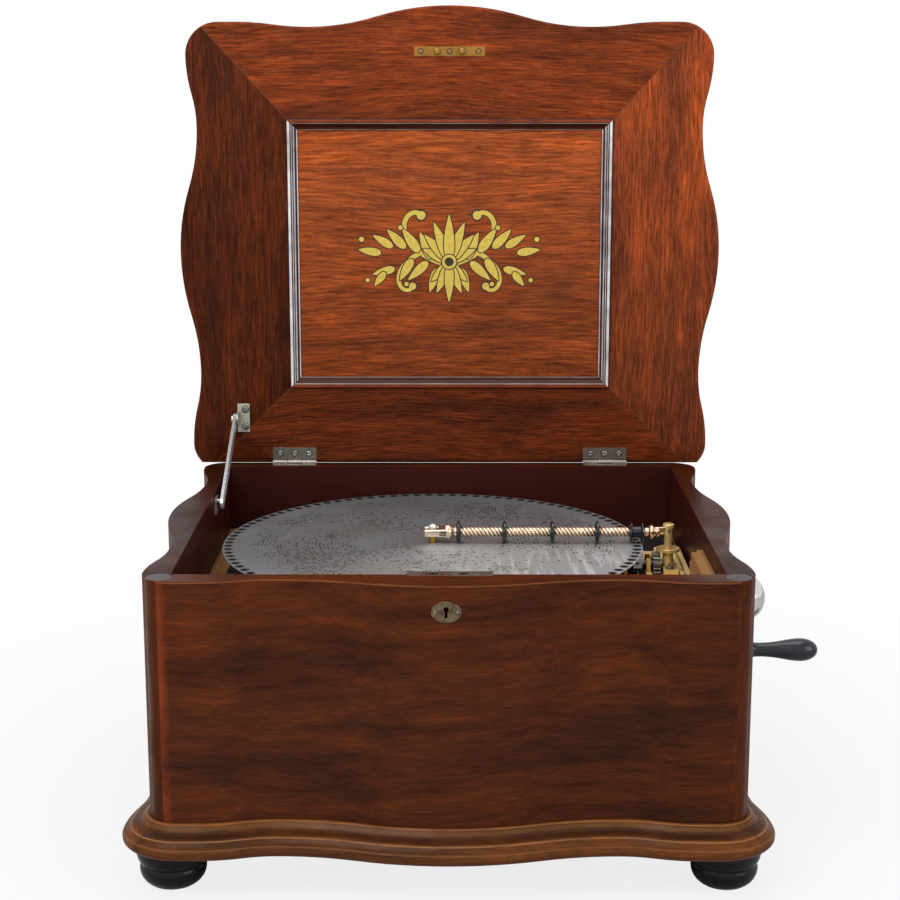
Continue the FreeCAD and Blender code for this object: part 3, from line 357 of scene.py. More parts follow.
def beyond_mitre(r, sideways, other, corner, low, high, slope):
    """1 on the side pieces of a mitred frame, 0 on its top and bottom pieces."""
    above = r.times(r.maths("SUBTRACT", other, high), 1 / slope)
    below = r.maths("SUBTRACT", low, other)
    line = r.maths("MAXIMUM", above, below)
    out = r.maths("SUBTRACT", r.maths("ABSOLUTE", sideways), corner)
    return r.maths("SUBTRACT", out, line)


def no_lines(r, x, y, z, past):
    return ()


def polished_wood(
    name, ground, direction, shift=(0, 0, 0), mitre=None, inside=None, lines=no_lines, **figure
):
    """French polished mahogany; a mitred frame turns its grain at the mitre lines."""
    material, r, shader, place = new_material(name)
    grain = grain_along(r, place, direction, shift)
    x, y, z = r.split(place)
    seam = None
    if mitre:
        other = z if mitre["stands"] else y
        past = beyond_mitre(
            r, x, other, mitre["corner"], mitre["low"], mitre["high"], mitre["slope"]
        )
        side = r.maths("GREATER_THAN", past, 0.0)
        turned_grain = grain_along(r, place, mitre["turned"], (5.3, 0.7, 0.2))
        pick = r.add("Mix", data_type="VECTOR")
        r.feed(pick, "Factor", side)
        r.feed(pick, 4, grain)
        r.feed(pick, 5, turned_grain)
        grain = pick.outputs[1]
        seam = r.remap(r.maths("ABSOLUTE", past), 0.2 * MM, 0.6 * MM, 1.0, 0.0)
    feeds = {
        "Grain": grain, "Ground": tuple(ground), "Mottle": figure.get("mottle", 0.7),
        "Ribbon": figure.get("ribbon", 0.5), "Fibre": figure.get("fibre", 0.5),
    }
    wood = placed(r, "figure", feeds)
    colour = wood["Color"]
    if mitre:
        # Painted light and shade: a frame's two side pieces take the mitre's left and right tints,
        # one lit and the other shaded.
        tone = r.remap(x, -0.06, 0.06)
        shaded = r.mix(tone, r.tinted(colour, mitre["left"]), r.tinted(colour, mitre["right"]))
        colour = r.mix(side, colour, shaded)
    if inside:
        within = r.maths("LESS_THAN", r.maths("ABSOLUTE", x), CASE_HALF_WIDTH)
        for compare, limit in (("GREATER_THAN", CASE_FRONT), ("LESS_THAN", CASE_BACK)):
            within = r.times(within, r.maths(compare, y, limit))
        within = r.times(within, r.maths("LESS_THAN", z, CASE_RIM))
        dark = r.mix(0.75, r.tinted(colour, (0.62, 0.5, 0.6)), inside)
        colour = r.mix(within, colour, dark)
    shade_and_grime = placed(r, "shade_and_grime", {"Vector": place, "Reach": 9 * MM})
    wear = placed(
        r, "wear", {"Vector": place, "Radius": 3.4 * MM, "Strength": figure.get("wear", 0.6)}
    )
    # Painted shade with dust: corners and crevices darken towards dark brown.
    shade_and_soil = r.tinted(colour, (0.34, 0.28, 0.26))
    colour = r.mix(r.times(shade_and_grime["Corners"], 0.6), colour, shade_and_soil)
    colour = r.toned(wear["Mask"], colour, (2.0, 1.75, 1.5))
    # Painted light: brightness falls off along one axis, as lamps would light the piece.
    if figure.get("light"):
        axis, start, end, first, last = figure["light"]
        tone = r.remap({"x": x, "z": z}[axis], start, end, first, last)
        colour = r.tinted(colour, r.joined(tone, tone, tone))
    # Painted highlight: a patchy pale band down a left front corner, where light catches the turn.
    if figure.get("rubbed"):
        low, high, rubbed = figure["rubbed"]
        band = r.times(r.remap(x, low, low + 4 * MM), r.remap(x, high - 7 * MM, high, 1.0, 0.0))
        patches = r.remap(
            r.noise(r.stretched(place, (30.0, 30.0, 17.0)), 1.0, 4.0, 0.65), 0.36, 0.64, 0.05, 0.95
        )
        share = r.times(r.times(band, patches), r.maths("LESS_THAN", y, CASE_FRONT))
        colour = r.mix(share, colour, rubbed)
    nicks = r.add("TexVoronoi", {"Vector": place, "Scale": 17.0}).outputs
    here = r.maths("GREATER_THAN", r.split(nicks["Color"])[0], 0.55)
    nick = r.times(r.remap(nicks["Distance"], 0.012, 0.026, 1.0, 0.0), here)
    colour = r.mix(r.times(nick, figure.get("nicks", 0.5)), colour, paint(176, 150, 126))
    # Each line paints a band of colour across the piece. The lines given here are painted
    # highlights, painted reflections and painted shade.
    for value, low, high, shade, share in lines(r, x, y, z, past if mitre else None):
        band = r.times(
            r.remap(value, low - 0.5 * MM, low), r.remap(value, high, high + 0.5 * MM, 1.0, 0.0)
        )
        broken = r.remap(r.noise(place, 35.0, 3.0, 0.6), 0.3, 0.6, 0.45 * share, share)
        colour = r.mix(r.times(band, broken), colour, shade)
    if seam:
        colour = r.mix(r.times(seam, 0.7), colour, mitre["line"])
    _, forward, facing = r.split(r.add("TexCoord").outputs["Normal"])
    upward = r.remap(facing, 0.75, 0.97)
    # Painted shade: faces that turn away from the front are darkened and cooled.
    if figure.get("edge_tone"):
        around = r.remap(forward, -0.85, -0.45, 0.0, 1.0)
        colour = r.toned(around, colour, figure["edge_tone"])
    # Painted shade: upward faces take the top tint, darker on the rim tops.
    colour = r.toned(upward, colour, figure.get("top", (1.0, 1.0, 1.0)))
    # End grain on upward faces, painted grey-blue as a painted sheen.
    if figure.get("end_grain"):
        ends = r.times(upward, r.remap(r.noise(place, 160.0, 3.0, 0.6), 0.3, 0.7, 0.45, 0.85))
        colour = r.mix(ends, colour, figure["end_grain"])
    coat = figure.get("coat", 0.03)
    r.feed(shader, "Coat Weight", r.remap(upward, 0.0, 1.0, coat, coat * 0.1))
    r.feed(shader, "Base Color", colour)
    gloss = figure.get("gloss", 0.30)
    r.feed(shader, "Roughness", r.remap(shade_and_grime["Smears"], 0.0, 1.0, gloss, gloss * 1.5))
    r.bumped(shader, wood["Height"], 0.22, 0.25 * MM)
    shader.inputs["Specular IOR Level"].default_value = figure.get("shine", 0.05)
    shader.inputs["Coat Roughness"].default_value = 0.12
    return material


def plain_wood(name, ground, direction, shift=(0, 0, 0)):
    """Planed softwood with growth rings showing as straight lines."""
    material, r, shader, place = new_material(name)
    grain = grain_along(r, place, direction, shift)
    rings = r.noise(r.stretched(grain, (1.2, 230.0, 230.0)), 1.0, 2.0, 0.4)
    fibres = r.noise(r.stretched(grain, (22.0, 1500.0, 1500.0)), 1.0, 2.0)
    late = r.tinted(tuple(ground), (0.66, 0.5, 0.36))
    colour = r.mix(r.remap(rings, 0.45, 0.66), tuple(ground), late)
    colour = r.mix(r.remap(fibres, 0.4, 0.7, 0.0, 0.3), colour, late)
    shade_and_grime = placed(r, "shade_and_grime", {"Vector": place, "Reach": 12 * MM})
    # Painted shade with dust: corners and crevices darken almost to black.
    colour = r.mix(r.times(shade_and_grime["Corners"], 0.8), colour, (0.05, 0.025, 0.012))
    colour = r.mix(r.times(shade_and_grime["Smears"], 0.25), colour, (0.22, 0.13, 0.06))
    r.feed(shader, "Base Color", colour)
    r.feed(shader, "Roughness", r.remap(rings, 0.3, 0.7, 0.55, 0.7))
    r.bumped(shader, fibres, 0.3, 0.2 * MM)
    return material


def metal(
    name, ground, tarnish, rough, blotch=38.0, brush=(900.0, 60.0, 900.0), age=0.6, wear=0.4,
    bare=1.0, pits=0.3,
):
    """Bare or plated metal with tarnish, fine brushing, pits and brighter edges."""
    material, r, shader, place = new_material(name)
    marks = placed(r, "tarnish", {"Vector": place, "Blotch": blotch, "Brush": brush})
    shade_and_grime = placed(r, "shade_and_grime", {"Vector": place, "Reach": 4 * MM})
    edges = placed(r, "wear", {"Vector": place, "Radius": 0.5 * MM, "Strength": wear})
    stained = r.times(marks["Tarnish"], age)
    colour = r.mix(stained, tuple(ground), tuple(tarnish))
    colour = r.toned(r.times(marks["Pits"], pits), colour, (0.4, 0.36, 0.3))
    # Painted shade with dust: corners and crevices darken almost to black.
    colour = r.mix(r.times(shade_and_grime["Corners"], 0.75), colour, (0.018, 0.013, 0.009))
    colour = r.toned(edges["Mask"], colour, (1.5, 1.5, 1.5))
    r.feed(shader, "Base Color", colour)
    r.feed(shader, "Metallic", r.remap(stained, 0.0, 1.0, bare, 0.72 * bare))
    polish = r.remap(marks["Brushing"], 0.3, 0.7, rough * 0.75, rough * 1.25)
    r.feed(shader, "Roughness", r.maths("ADD", polish, r.times(stained, 0.22)))
    r.bumped(shader, marks["Brushing"], 0.12, 0.08 * MM, edges["Normal"])
    return material


def black_lacquer(name, ground, rough=0.16, shine=0.3):
    """Black lacquer or japan with painted shade and dust in the corners and brown worn edges."""
    material, r, shader, place = new_material(name)
    shade_and_grime = placed(r, "shade_and_grime", {"Vector": place, "Reach": 6 * MM})
    edges = placed(r, "wear", {"Vector": place, "Radius": 0.9 * MM, "Strength": 0.5})
    cloud = r.noise(place, 60.0, 4.0, 0.6)
    colour = r.mix(r.remap(cloud, 0.35, 0.7), tuple(ground), tuple(1.9 * c for c in ground))
    colour = r.mix(edges["Mask"], colour, (0.085, 0.040, 0.022))
    # Painted shade with dust in the corners.
    colour = r.mix(r.times(shade_and_grime["Corners"], 0.4), colour, (0.045, 0.036, 0.030))
    r.feed(shader, "Base Color", colour)
    shader.inputs["Specular IOR Level"].default_value = shine
    r.feed(shader, "Roughness", r.remap(shade_and_grime["Smears"], 0.0, 1.0, rough, rough + 0.16))
    r.bumped(shader, cloud, 0.1, 0.3 * MM)
    return material


def punched_disc(name, ground):
    """Dull steel with slots, lathe marks and stains, the slots painted near black as the shade seen
    through them, with a painted sheen, painted reflection bars and painted shade round the rim
    holes.
    """
    material, r, shader, place = new_material(name)
    centred = r.stretched(place, (1, 1, 1), (-DISC_MIDDLE[0] * MM, -DISC_MIDDLE[1] * MM, 0))
    x, y, z = r.split(centred)
    radius = r.distance(x, y)
    angle = r.maths("ARCTAN2", y, x)
    track = r.maths("DIVIDE", radius, TRACK_PITCH)
    track_number = r.maths("FLOOR", track)
    arc = r.times(angle, r.times(track_number, 1.05))
    arc = r.maths("ADD", arc, r.times(track_number, 0.37))
    cell = r.maths("FLOOR", arc)
    seed = r.joined(track_number, cell, 0.5)
    chance = r.add("TexWhiteNoise", {"Vector": seed}, noise_dimensions="3D").outputs["Value"]
    crowd = r.noise(centred, 15.0, 3.0, 0.6)
    needed = r.remap(crowd, 0.44, 0.62, 0.97, 0.40)
    present = r.maths("GREATER_THAN", chance, needed)
    for compare, limit in (("GREATER_THAN", FIRST_TRACK), ("LESS_THAN", LAST_TRACK)):
        present = r.times(present, r.maths(compare, radius, limit))
    across = r.maths("ABSOLUTE", r.maths("SUBTRACT", r.maths("FRACT", track), 0.5))
    along = r.maths("ABSOLUTE", r.maths("SUBTRACT", r.maths("FRACT", arc), 0.5))
    slot = r.times(r.remap(across, 0.20, 0.30, 1.0, 0.0), r.remap(along, 0.28, 0.40, 1.0, 0.0))
    slot = r.times(slot, present)
    turning = r.noise(r.joined(r.times(radius, 2600.0), r.times(angle, 1.5), 0.0), 1.0, 2.0)
    marks = placed(r, "tarnish", {"Vector": place, "Blotch": 17.0, "Brush": (60.0, 900.0, 60.0)})
    shade_and_grime = placed(r, "shade_and_grime", {"Vector": place, "Reach": 5 * MM})
    colour = r.mix(r.times(marks["Tarnish"], 0.62), tuple(ground), tuple(0.5 * c for c in ground))
    colour = r.mix(r.times(marks["Pits"], 0.4), colour, (0.06, 0.045, 0.032))
    worn = r.times(
        r.remap(radius, 60 * MM, 120 * MM), r.remap(radius, 150 * MM, 178 * MM, 1.0, 0.0)
    )
    colour = r.toned(r.times(worn, 0.22), colour, (0.72, 0.70, 0.66))
    # Painted shade with dust in corners.
    colour = r.mix(r.times(shade_and_grime["Corners"], 0.5), colour, (0.02, 0.015, 0.01))
    # Painted sheen: brighter towards one side of the disc and darker on the other, turning with the
    # disc.
    facing = r.maths("COSINE", r.maths("ADD", angle, 1.0))
    sheen = r.times(r.remap(facing, -0.1, 1.0, 0.72, 1.6), r.remap(turning, 0.3, 0.7, 0.88, 1.12))
    colour = r.tinted(colour, r.joined(sheen, sheen, sheen))
    # Painted reflection: pale bars across the bright side of the middle band, in the zone named
    # polished.
    reflection_bars = r.remap(r.noise(r.stretched(place, (150.0, 14.0, 1.0)), 1.0, 2.0, 0.5), 0.50, 0.60)
    polished = r.times(r.remap(facing, 0.55, 0.95), r.remap(radius, 70 * MM, 120 * MM))
    colour = r.mix(r.times(r.times(reflection_bars, polished), 0.5), colour, (0.90, 0.92, 0.95))
    # Slots painted near black, for the shade seen through them.
    colour = r.mix(r.times(slot, 0.95), colour, (0.007, 0.006, 0.006))
    # Painted shade: a dark ring round each rim hole.
    turn = r.times(angle, RIM_HOLES / (2 * math.pi))
    beside = r.maths("SUBTRACT", r.maths("FRACT", r.maths("ADD", turn, 100.5)), 0.5)
    beside = r.times(beside, HOLE_PITCH)
    outward = r.maths("SUBTRACT", radius, HOLE_RING)
    reach = r.distance(beside, outward)
    colour = r.mix(r.remap(reach, 3.8 * MM, 4.8 * MM, 0.92, 0.0), colour, (0.012, 0.010, 0.010))
    r.feed(shader, "Base Color", colour)
    r.feed(shader, "Metallic", r.remap(marks["Tarnish"], 0.0, 1.0, 0.55, 0.35))
    rough = r.remap(turning, 0.3, 0.7, 0.34, 0.46)
    r.feed(shader, "Roughness", r.maths("ADD", rough, r.times(marks["Tarnish"], 0.18)))
    height = r.maths("SUBTRACT", r.times(turning, 0.08), slot)
    r.bumped(shader, height, 0.5, 0.5 * MM)
    return material


def transfer_ink(name, ground, flake):
    """Gold leaf or black ink of the lid's ornament, thin and a little worn."""
    material, r, shader, place = new_material(name)
    worn = r.noise(place, 260.0, 4.0, 0.7)
    colour = r.mix(r.remap(worn, 0.40, 0.72), ground, tuple(flake * c for c in ground))
    r.feed(shader, "Base Color", colour)
    r.feed(shader, "Roughness", r.remap(worn, 0.3, 0.7, 0.35, 0.55))
    r.bumped(shader, worn, 0.15, 0.1 * MM)
    return material


# Making and dressing pieces


def add_piece(name, shape, body, material, stands_for=(), smooth_below=38):
    """Makes a mesh object of a bmesh and lets it ride on a body."""
    mesh = bpy.data.meshes.new(name)
    shape.to_mesh(mesh)
    shape.free()
    mesh.shade_smooth()
    mesh.set_sharp_from_angle(angle=math.radians(smooth_below))
    piece = bpy.data.objects.new(name, mesh)
    bpy.context.scene.collection.objects.link(piece)
    mesh.materials.append(material)
    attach(piece, body)
    if stands_for:
        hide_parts(*stands_for)
    return piece


def is_mitre(face, through, on_line):
    """True for a hidden face between mitred pieces, which runs along one axis through the frame."""
    across = [abs(c) for axis, c in enumerate(face.normal) if axis != through]
    straight = abs(face.normal[through]) < 0.1 and min(across) > 0.5
    return straight and all(on_line(v.co) for v in face.verts)


def dressed(
    node, material, edge=0.3 * MM, segments=2, mitre=None, steep=26, smooth_below=50, crisp=None
):
    """A copy of a CAD node, merged and with softened edges, that stands for the node."""
    source = frame["nodes"][node]
    shape = bmesh.new()
    shape.from_mesh(source.data)
    if mitre:
        inner = [face for face in shape.faces if is_mitre(face, *mitre)]
        bmesh.ops.delete(shape, geom=inner, context="FACES")
    bmesh.ops.remove_doubles(shape, verts=shape.verts, dist=0.004 * MM)
    bmesh.ops.dissolve_limit(
        shape, angle_limit=math.radians(0.5), verts=shape.verts, edges=shape.edges
    )
    if edge:
        keen = math.radians(steep)
        edges = [e for e in shape.edges if e.is_manifold and e.calc_face_angle(0.0) > keen]
        if crisp:
            edges = [e for e in edges if not all(crisp(v.co) for v in e.verts)]
        bmesh.ops.bevel(
            shape, geom=edges, offset=edge, offset_type="OFFSET", segments=segments, profile=0.5,
            affect="EDGES", clamp_overlap=True, material=-1,
        )
    bmesh.ops.triangulate(shape, faces=[f for f in shape.faces if len(f.verts) > 4])
    piece = add_piece(
        node + "_finished", shape, source["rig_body"], material, (node,), smooth_below
    )
    tidy = piece.modifiers.new("Even shading", "WEIGHTED_NORMAL")
    tidy.keep_sharp = True
    return piece


def dress_all(rows):
    """Dresses nodes row by row: their finish, the rounding of their edges in mm, their names."""
    for material, edge, nodes in rows:
        for node in nodes.split():
            dressed(node, material, edge * MM)


def turned_shape(profile, centre, axis, steps=48):
    """A closed shape spun about an axis through a point; profile is (along, radius) in mm."""
    shape = bmesh.new()
    axis = Vector(axis)
    out = Vector((0, 0, 1)) if abs(axis.z) < 0.5 else Vector((1, 0, 0))
    centre = Vector(centre)
    last = None
    for along, radius in profile:
        point = shape.verts.new((centre + axis * along + out * radius) * MM)
        if last:
            shape.edges.new((last, point))
        last = point
    bmesh.ops.spin(
        shape, geom=shape.verts[:] + shape.edges[:], cent=centre * MM, axis=axis,
        angle=2 * math.pi, steps=steps, use_merge=True,
    )
    bmesh.ops.remove_doubles(shape, verts=shape.verts, dist=0.002 * MM)
    bmesh.ops.recalc_face_normals(shape, faces=shape.faces)
    return shape


def add_into(shape, other):
    """Adds a second bmesh's faces to the first."""
    mesh = bpy.data.meshes.new("passing")
    other.to_mesh(mesh)
    other.free()
    shape.from_mesh(mesh)
    bpy.data.meshes.remove(mesh)


def block(low, high, edge):
    """A block between two corners in mm, with its edges rounded."""
    shape = bmesh.new()
    low = Vector(low)
    high = Vector(high)
    bmesh.ops.create_cube(shape, size=1)
    bmesh.ops.scale(shape, vec=(high - low) * MM, verts=shape.verts)
    bmesh.ops.translate(shape, vec=(high + low) * 0.5 * MM, verts=shape.verts)
    bmesh.ops.bevel(
        shape, geom=shape.edges[:], offset=edge * MM, offset_type="OFFSET", segments=3,
        profile=0.5, affect="EDGES", clamp_overlap=True, material=-1,
    )
    return shape


def softened(piece):
    """Finishes a turned piece with a subdivision surface."""
    smooth = piece.modifiers.new("Rounded", "SUBSURF")
    smooth.levels = smooth.render_levels = 1


PANEL_OPENING = {
    "stands": True, "corner": 166 * MM, "low": 359.7 * MM, "high": 636.3 * MM, "turned": UPRIGHT,
}
# left and right: tints of painted light and shade for a frame's two side pieces.
LID_MITRE = {
    **PANEL_OPENING, "slope": (231.0 - 135.4) / (254.0 - 166.0),
    "left": (0.50, 0.52, 0.55), "right": (1.45, 1.50, 1.50), "line": (0.16, 0.075, 0.035),
}
MOULDING_MITRE = {
    **PANEL_OPENING, "slope": 1.0,
    "left": (0.8, 0.8, 0.8), "right": (1.0, 1.0, 1.0), "line": (0.02, 0.01, 0.008),
}
BASE_MITRE = {
    "stands": False, "corner": 230.3 * MM, "low": -206 * MM, "high": 205.7 * MM, "slope": 1.0,
    "turned": FRONT_TO_BACK, "left": (1.1, 1.1, 1.1), "right": (0.8, 0.8, 0.8),
    "line": (0.02, 0.01, 0.006),
}


def on_mitre(mitre, within, least=-1.0):
    """A test for points within a distance of a frame's mitre lines, past a least distance out."""

    def test(point):
        other = point.z if mitre["stands"] else point.y
        past = max((other - mitre["high"]) / mitre["slope"], mitre["low"] - other)
        return abs(abs(point.x) - mitre["corner"] - past) < within and past > least

    return test


def rim_highlight_lines(r, x, y, z, past):
    """A painted highlight: the pale line along the rim's front edge."""
    inner = r.maths("ADD", z, r.remap(y, CASE_FRONT, CASE_FRONT + 0.6 * MM, 0.0, 1.0))
    return ((inner, 278.5 * MM, 279.2 * MM, paint(148, 88, 50), 0.75),)


def base_shade_and_highlight_lines(r, x, y, z, past):
    """Painted highlights along the base moulding's arrises, partly worn polish, and painted shade
    in its hollow.
    """
    return (
        (z, 61.4 * MM, 64.0 * MM, paint(54, 30, 18), 0.7),
        (z, 65.5 * MM, 67.6 * MM, paint(118, 84, 50), 0.5),
        (z, 69.0 * MM, 69.5 * MM, paint(160, 104, 62), 0.8),
        (z, 59.6 * MM, 60.0 * MM, paint(168, 116, 72), 0.75),
        (z, 54.4 * MM, 54.8 * MM, paint(136, 88, 54), 0.6),
        (z, 44.0 * MM, 49.5 * MM, paint(84, 40, 22), 0.6),
    )


def bead_reflection_lines(r, x, y, z, past):
    """Painted reflections and highlights on the beads of the panel's moulding, brighter on the
    upright strips than the level ones.
    """
    across = r.maths("SUBTRACT", MOULDING_MITRE["corner"], r.maths("ABSOLUTE", x))
    level = r.maths(
        "MINIMUM", r.maths("SUBTRACT", MOULDING_MITRE["high"], z),
        r.maths("SUBTRACT", z, MOULDING_MITRE["low"]),
    )
    upright = r.maths("GREATER_THAN", past, 0.0)
    sides = r.maths("ADD", across, r.remap(upright, 0.0, 1.0, 1.0, 0.0))
    ends = r.maths("ADD", level, upright)
    painted_reflection = paint(246, 242, 244)
    return (
        (sides, 1.6 * MM, 3.6 * MM, painted_reflection, 0.95),
        (sides, 5.3 * MM, 5.6 * MM, painted_reflection, 0.8),
        (sides, 7.2 * MM, 8.0 * MM, painted_reflection, 0.75),
        (sides, 10.6 * MM, 11.2 * MM, painted_reflection, 0.8),
        (ends, 1.3 * MM, 3.4 * MM, paint(150, 66, 36), 0.9),
        (ends, 4.6 * MM, 4.8 * MM, paint(214, 190, 172), 0.7),
        (ends, 10.8 * MM, 11.3 * MM, paint(176, 150, 138), 0.6),
    )


class MUSICBOX_OT_case(bpy.types.Operator):
    """Polished boards, corner posts and base moulding of the case"""

    bl_idname = "musicbox.case"
    bl_label = "Case"

    def execute(self, context):
        wood = context.scene.musicbox_wood
        inside = tuple(wood.stain)
        # The front gets painted light falling off towards the right, a painted highlight down its
        # left corner and a painted highlight along the rim's edge.
        front = polished_wood(
            "Case front mahogany", wood.case, ACROSS_CASE, (0, 0.3, 0), inside=inside, mottle=0.62,
            ribbon=0.4,
            fibre=0.35, rubbed=(-253 * MM, -231 * MM, paint(138, 58, 26)), lines=rim_highlight_lines,
            light=("x", -0.22, 0.22, 1.08, 0.86), nicks=0.0,
        )
        # The side and back boards' top tint is painted shade on their upward faces.
        side = polished_wood(
            "Case side mahogany", wood.case, FRONT_TO_BACK, (1.2, 0.1, 0), inside=inside,
            mottle=0.6, ribbon=0.4, fibre=0.35,
            top=(0.50, 0.46, 0.50),
        )
        back = polished_wood(
            "Case back mahogany", wood.case, ACROSS_CASE, (2.3, 0.6, 0), inside=inside, mottle=0.5,
            ribbon=0.3, fibre=0.35,
            top=(0.6, 0.55, 0.6),
        )
        # The post gets a painted highlight down its left front edge, and its end grain a painted
        # sheen.
        post = polished_wood(
            "Corner post mahogany", wood.case, UPRIGHT, (0.4, 0.2, 0), mottle=0.5, fibre=0.3,
            rubbed=(-256 * MM, -244.5 * MM, paint(118, 90, 68)), end_grain=paint(92, 94, 98),
        )
        moulding = polished_wood(
            "Base moulding mahogany", wood.moulding, ACROSS_CASE, (0.9, 0.2, 0), BASE_MITRE,
            mottle=0.55, ribbon=0.5, fibre=0.35, wear=0.5, coat=0.05, lines=base_shade_and_highlight_lines,
        )
        bottom = plain_wood("Bottom board", (0.10, 0.045, 0.025), ACROSS_CASE)
        for node, material in (("case_front", front), ("case_left", side), ("case_right", side)):
            dressed(node, material, wood.edge_round, 3)
        dressed(
            "case_back", back, wood.edge_round, 3,
            crisp=lambda v: v.y > 206.5 * MM and v.z > 279 * MM,
        )
        dressed("corner_posts", post, wood.edge_round, 3)
        dressed(
            "base_moulding", moulding, wood.moulding_round, 4,
            (2, on_mitre(BASE_MITRE, 0.03 * MM, 0.2 * MM)), steep=12,
        )
        dressed("bottom_board", bottom, 0.5 * MM)
        return {"FINISHED"}


class MUSICBOX_OT_lid(bpy.types.Operator):
    """Mitred lid frame, panel, mouldings and raised top board"""

    bl_idname = "musicbox.lid"
    bl_label = "Lid"

    def execute(self, context):
        wood = context.scene.musicbox_wood
        # The frame and panel are painted lighter towards the top as painted light, and the frame's
        # side faces get painted shade.
        rails = polished_wood(
            "Lid frame mahogany", wood.lid, ACROSS_CASE, (3.1, 0.5, 0), LID_MITRE, mottle=0.6,
            ribbon=0.45, fibre=0.8, wear=0.9, light=("z", 0.29, 0.66, 0.66, 1.0),
            edge_tone=(0.66, 0.68, 0.72),
        )
        panel = polished_wood(
            "Lid panel mahogany", wood.panel, ACROSS_CASE, (0.2, 1.5, 0), mottle=0.45, ribbon=0.45,
            fibre=0.75, light=("z", 0.37, 0.60, 0.76, 1.22),
        )
        strip = polished_wood(
            "Panel moulding mahogany", paint(58, 26, 17), ACROSS_CASE, (4.1, 0.3, 0),
            MOULDING_MITRE,
            mottle=0.3, ribbon=0.2, fibre=0.3, wear=0.2, coat=0.25, gloss=0.16, lines=bead_reflection_lines,
        )
        top = polished_wood(
            "Lid top mahogany", wood.case, ACROSS_CASE, (6.2, 0.9, 0), mottle=0.6, ribbon=0.6,
            coat=0.1,
        )
        by_hinges = lambda v: v.z < 282 * MM
        frame_piece = dressed(
            "lid_frame", rails, wood.edge_round, 3, (1, on_mitre(LID_MITRE, 0.05 * MM, -12 * MM)),
            steep=14, crisp=by_hinges,
        )
        # The solids leave a thin open line over the back board, which shows white.
        for vert in frame_piece.data.vertices:
            if vert.co.z < 280.8 * MM:
                vert.co.z -= 0.45 * MM
        dressed("lid_top", top, wood.moulding_round, 3)
        dressed("lid_panel", panel, 0.3 * MM)
        dressed(
            "panel_moulding", strip, 0.4 * MM, 3, (1, on_mitre(MOULDING_MITRE, 0.05 * MM)), steep=14
        )
        return {"FINISHED"}


class MUSICBOX_OT_feet(bpy.types.Operator):
    """Turned and ebonised bun feet"""

    bl_idname = "musicbox.feet"
    bl_label = "Feet"

    def execute(self, context):
        wood = context.scene.musicbox_wood
        lacquer = black_lacquer("Ebonised feet", wood.ebony, 0.08, 0.22)
        shape = bmesh.new()
        profile = (
            (0, 0), (0, 17), (0.8, 19.5), (5, 25.4), (11, 28.6), (16.5, 29.2), (19.0, 28.2),
            (20.2, 27.4),
            (21.6, 28.8), (25, 30.8), (31, 32.0), (37, 31.4), (41, 29.4), (44, 27.2), (44, 0),
        )
        for x in (-238, 238):
            for y in (-192, 176):
                add_into(shape, turned_shape(profile, (x, y, 0), (0, 0, 1)))
        softened(add_piece("turned_feet", shape, "case", lacquer, ("bun_feet",)))
        return {"FINISHED"}


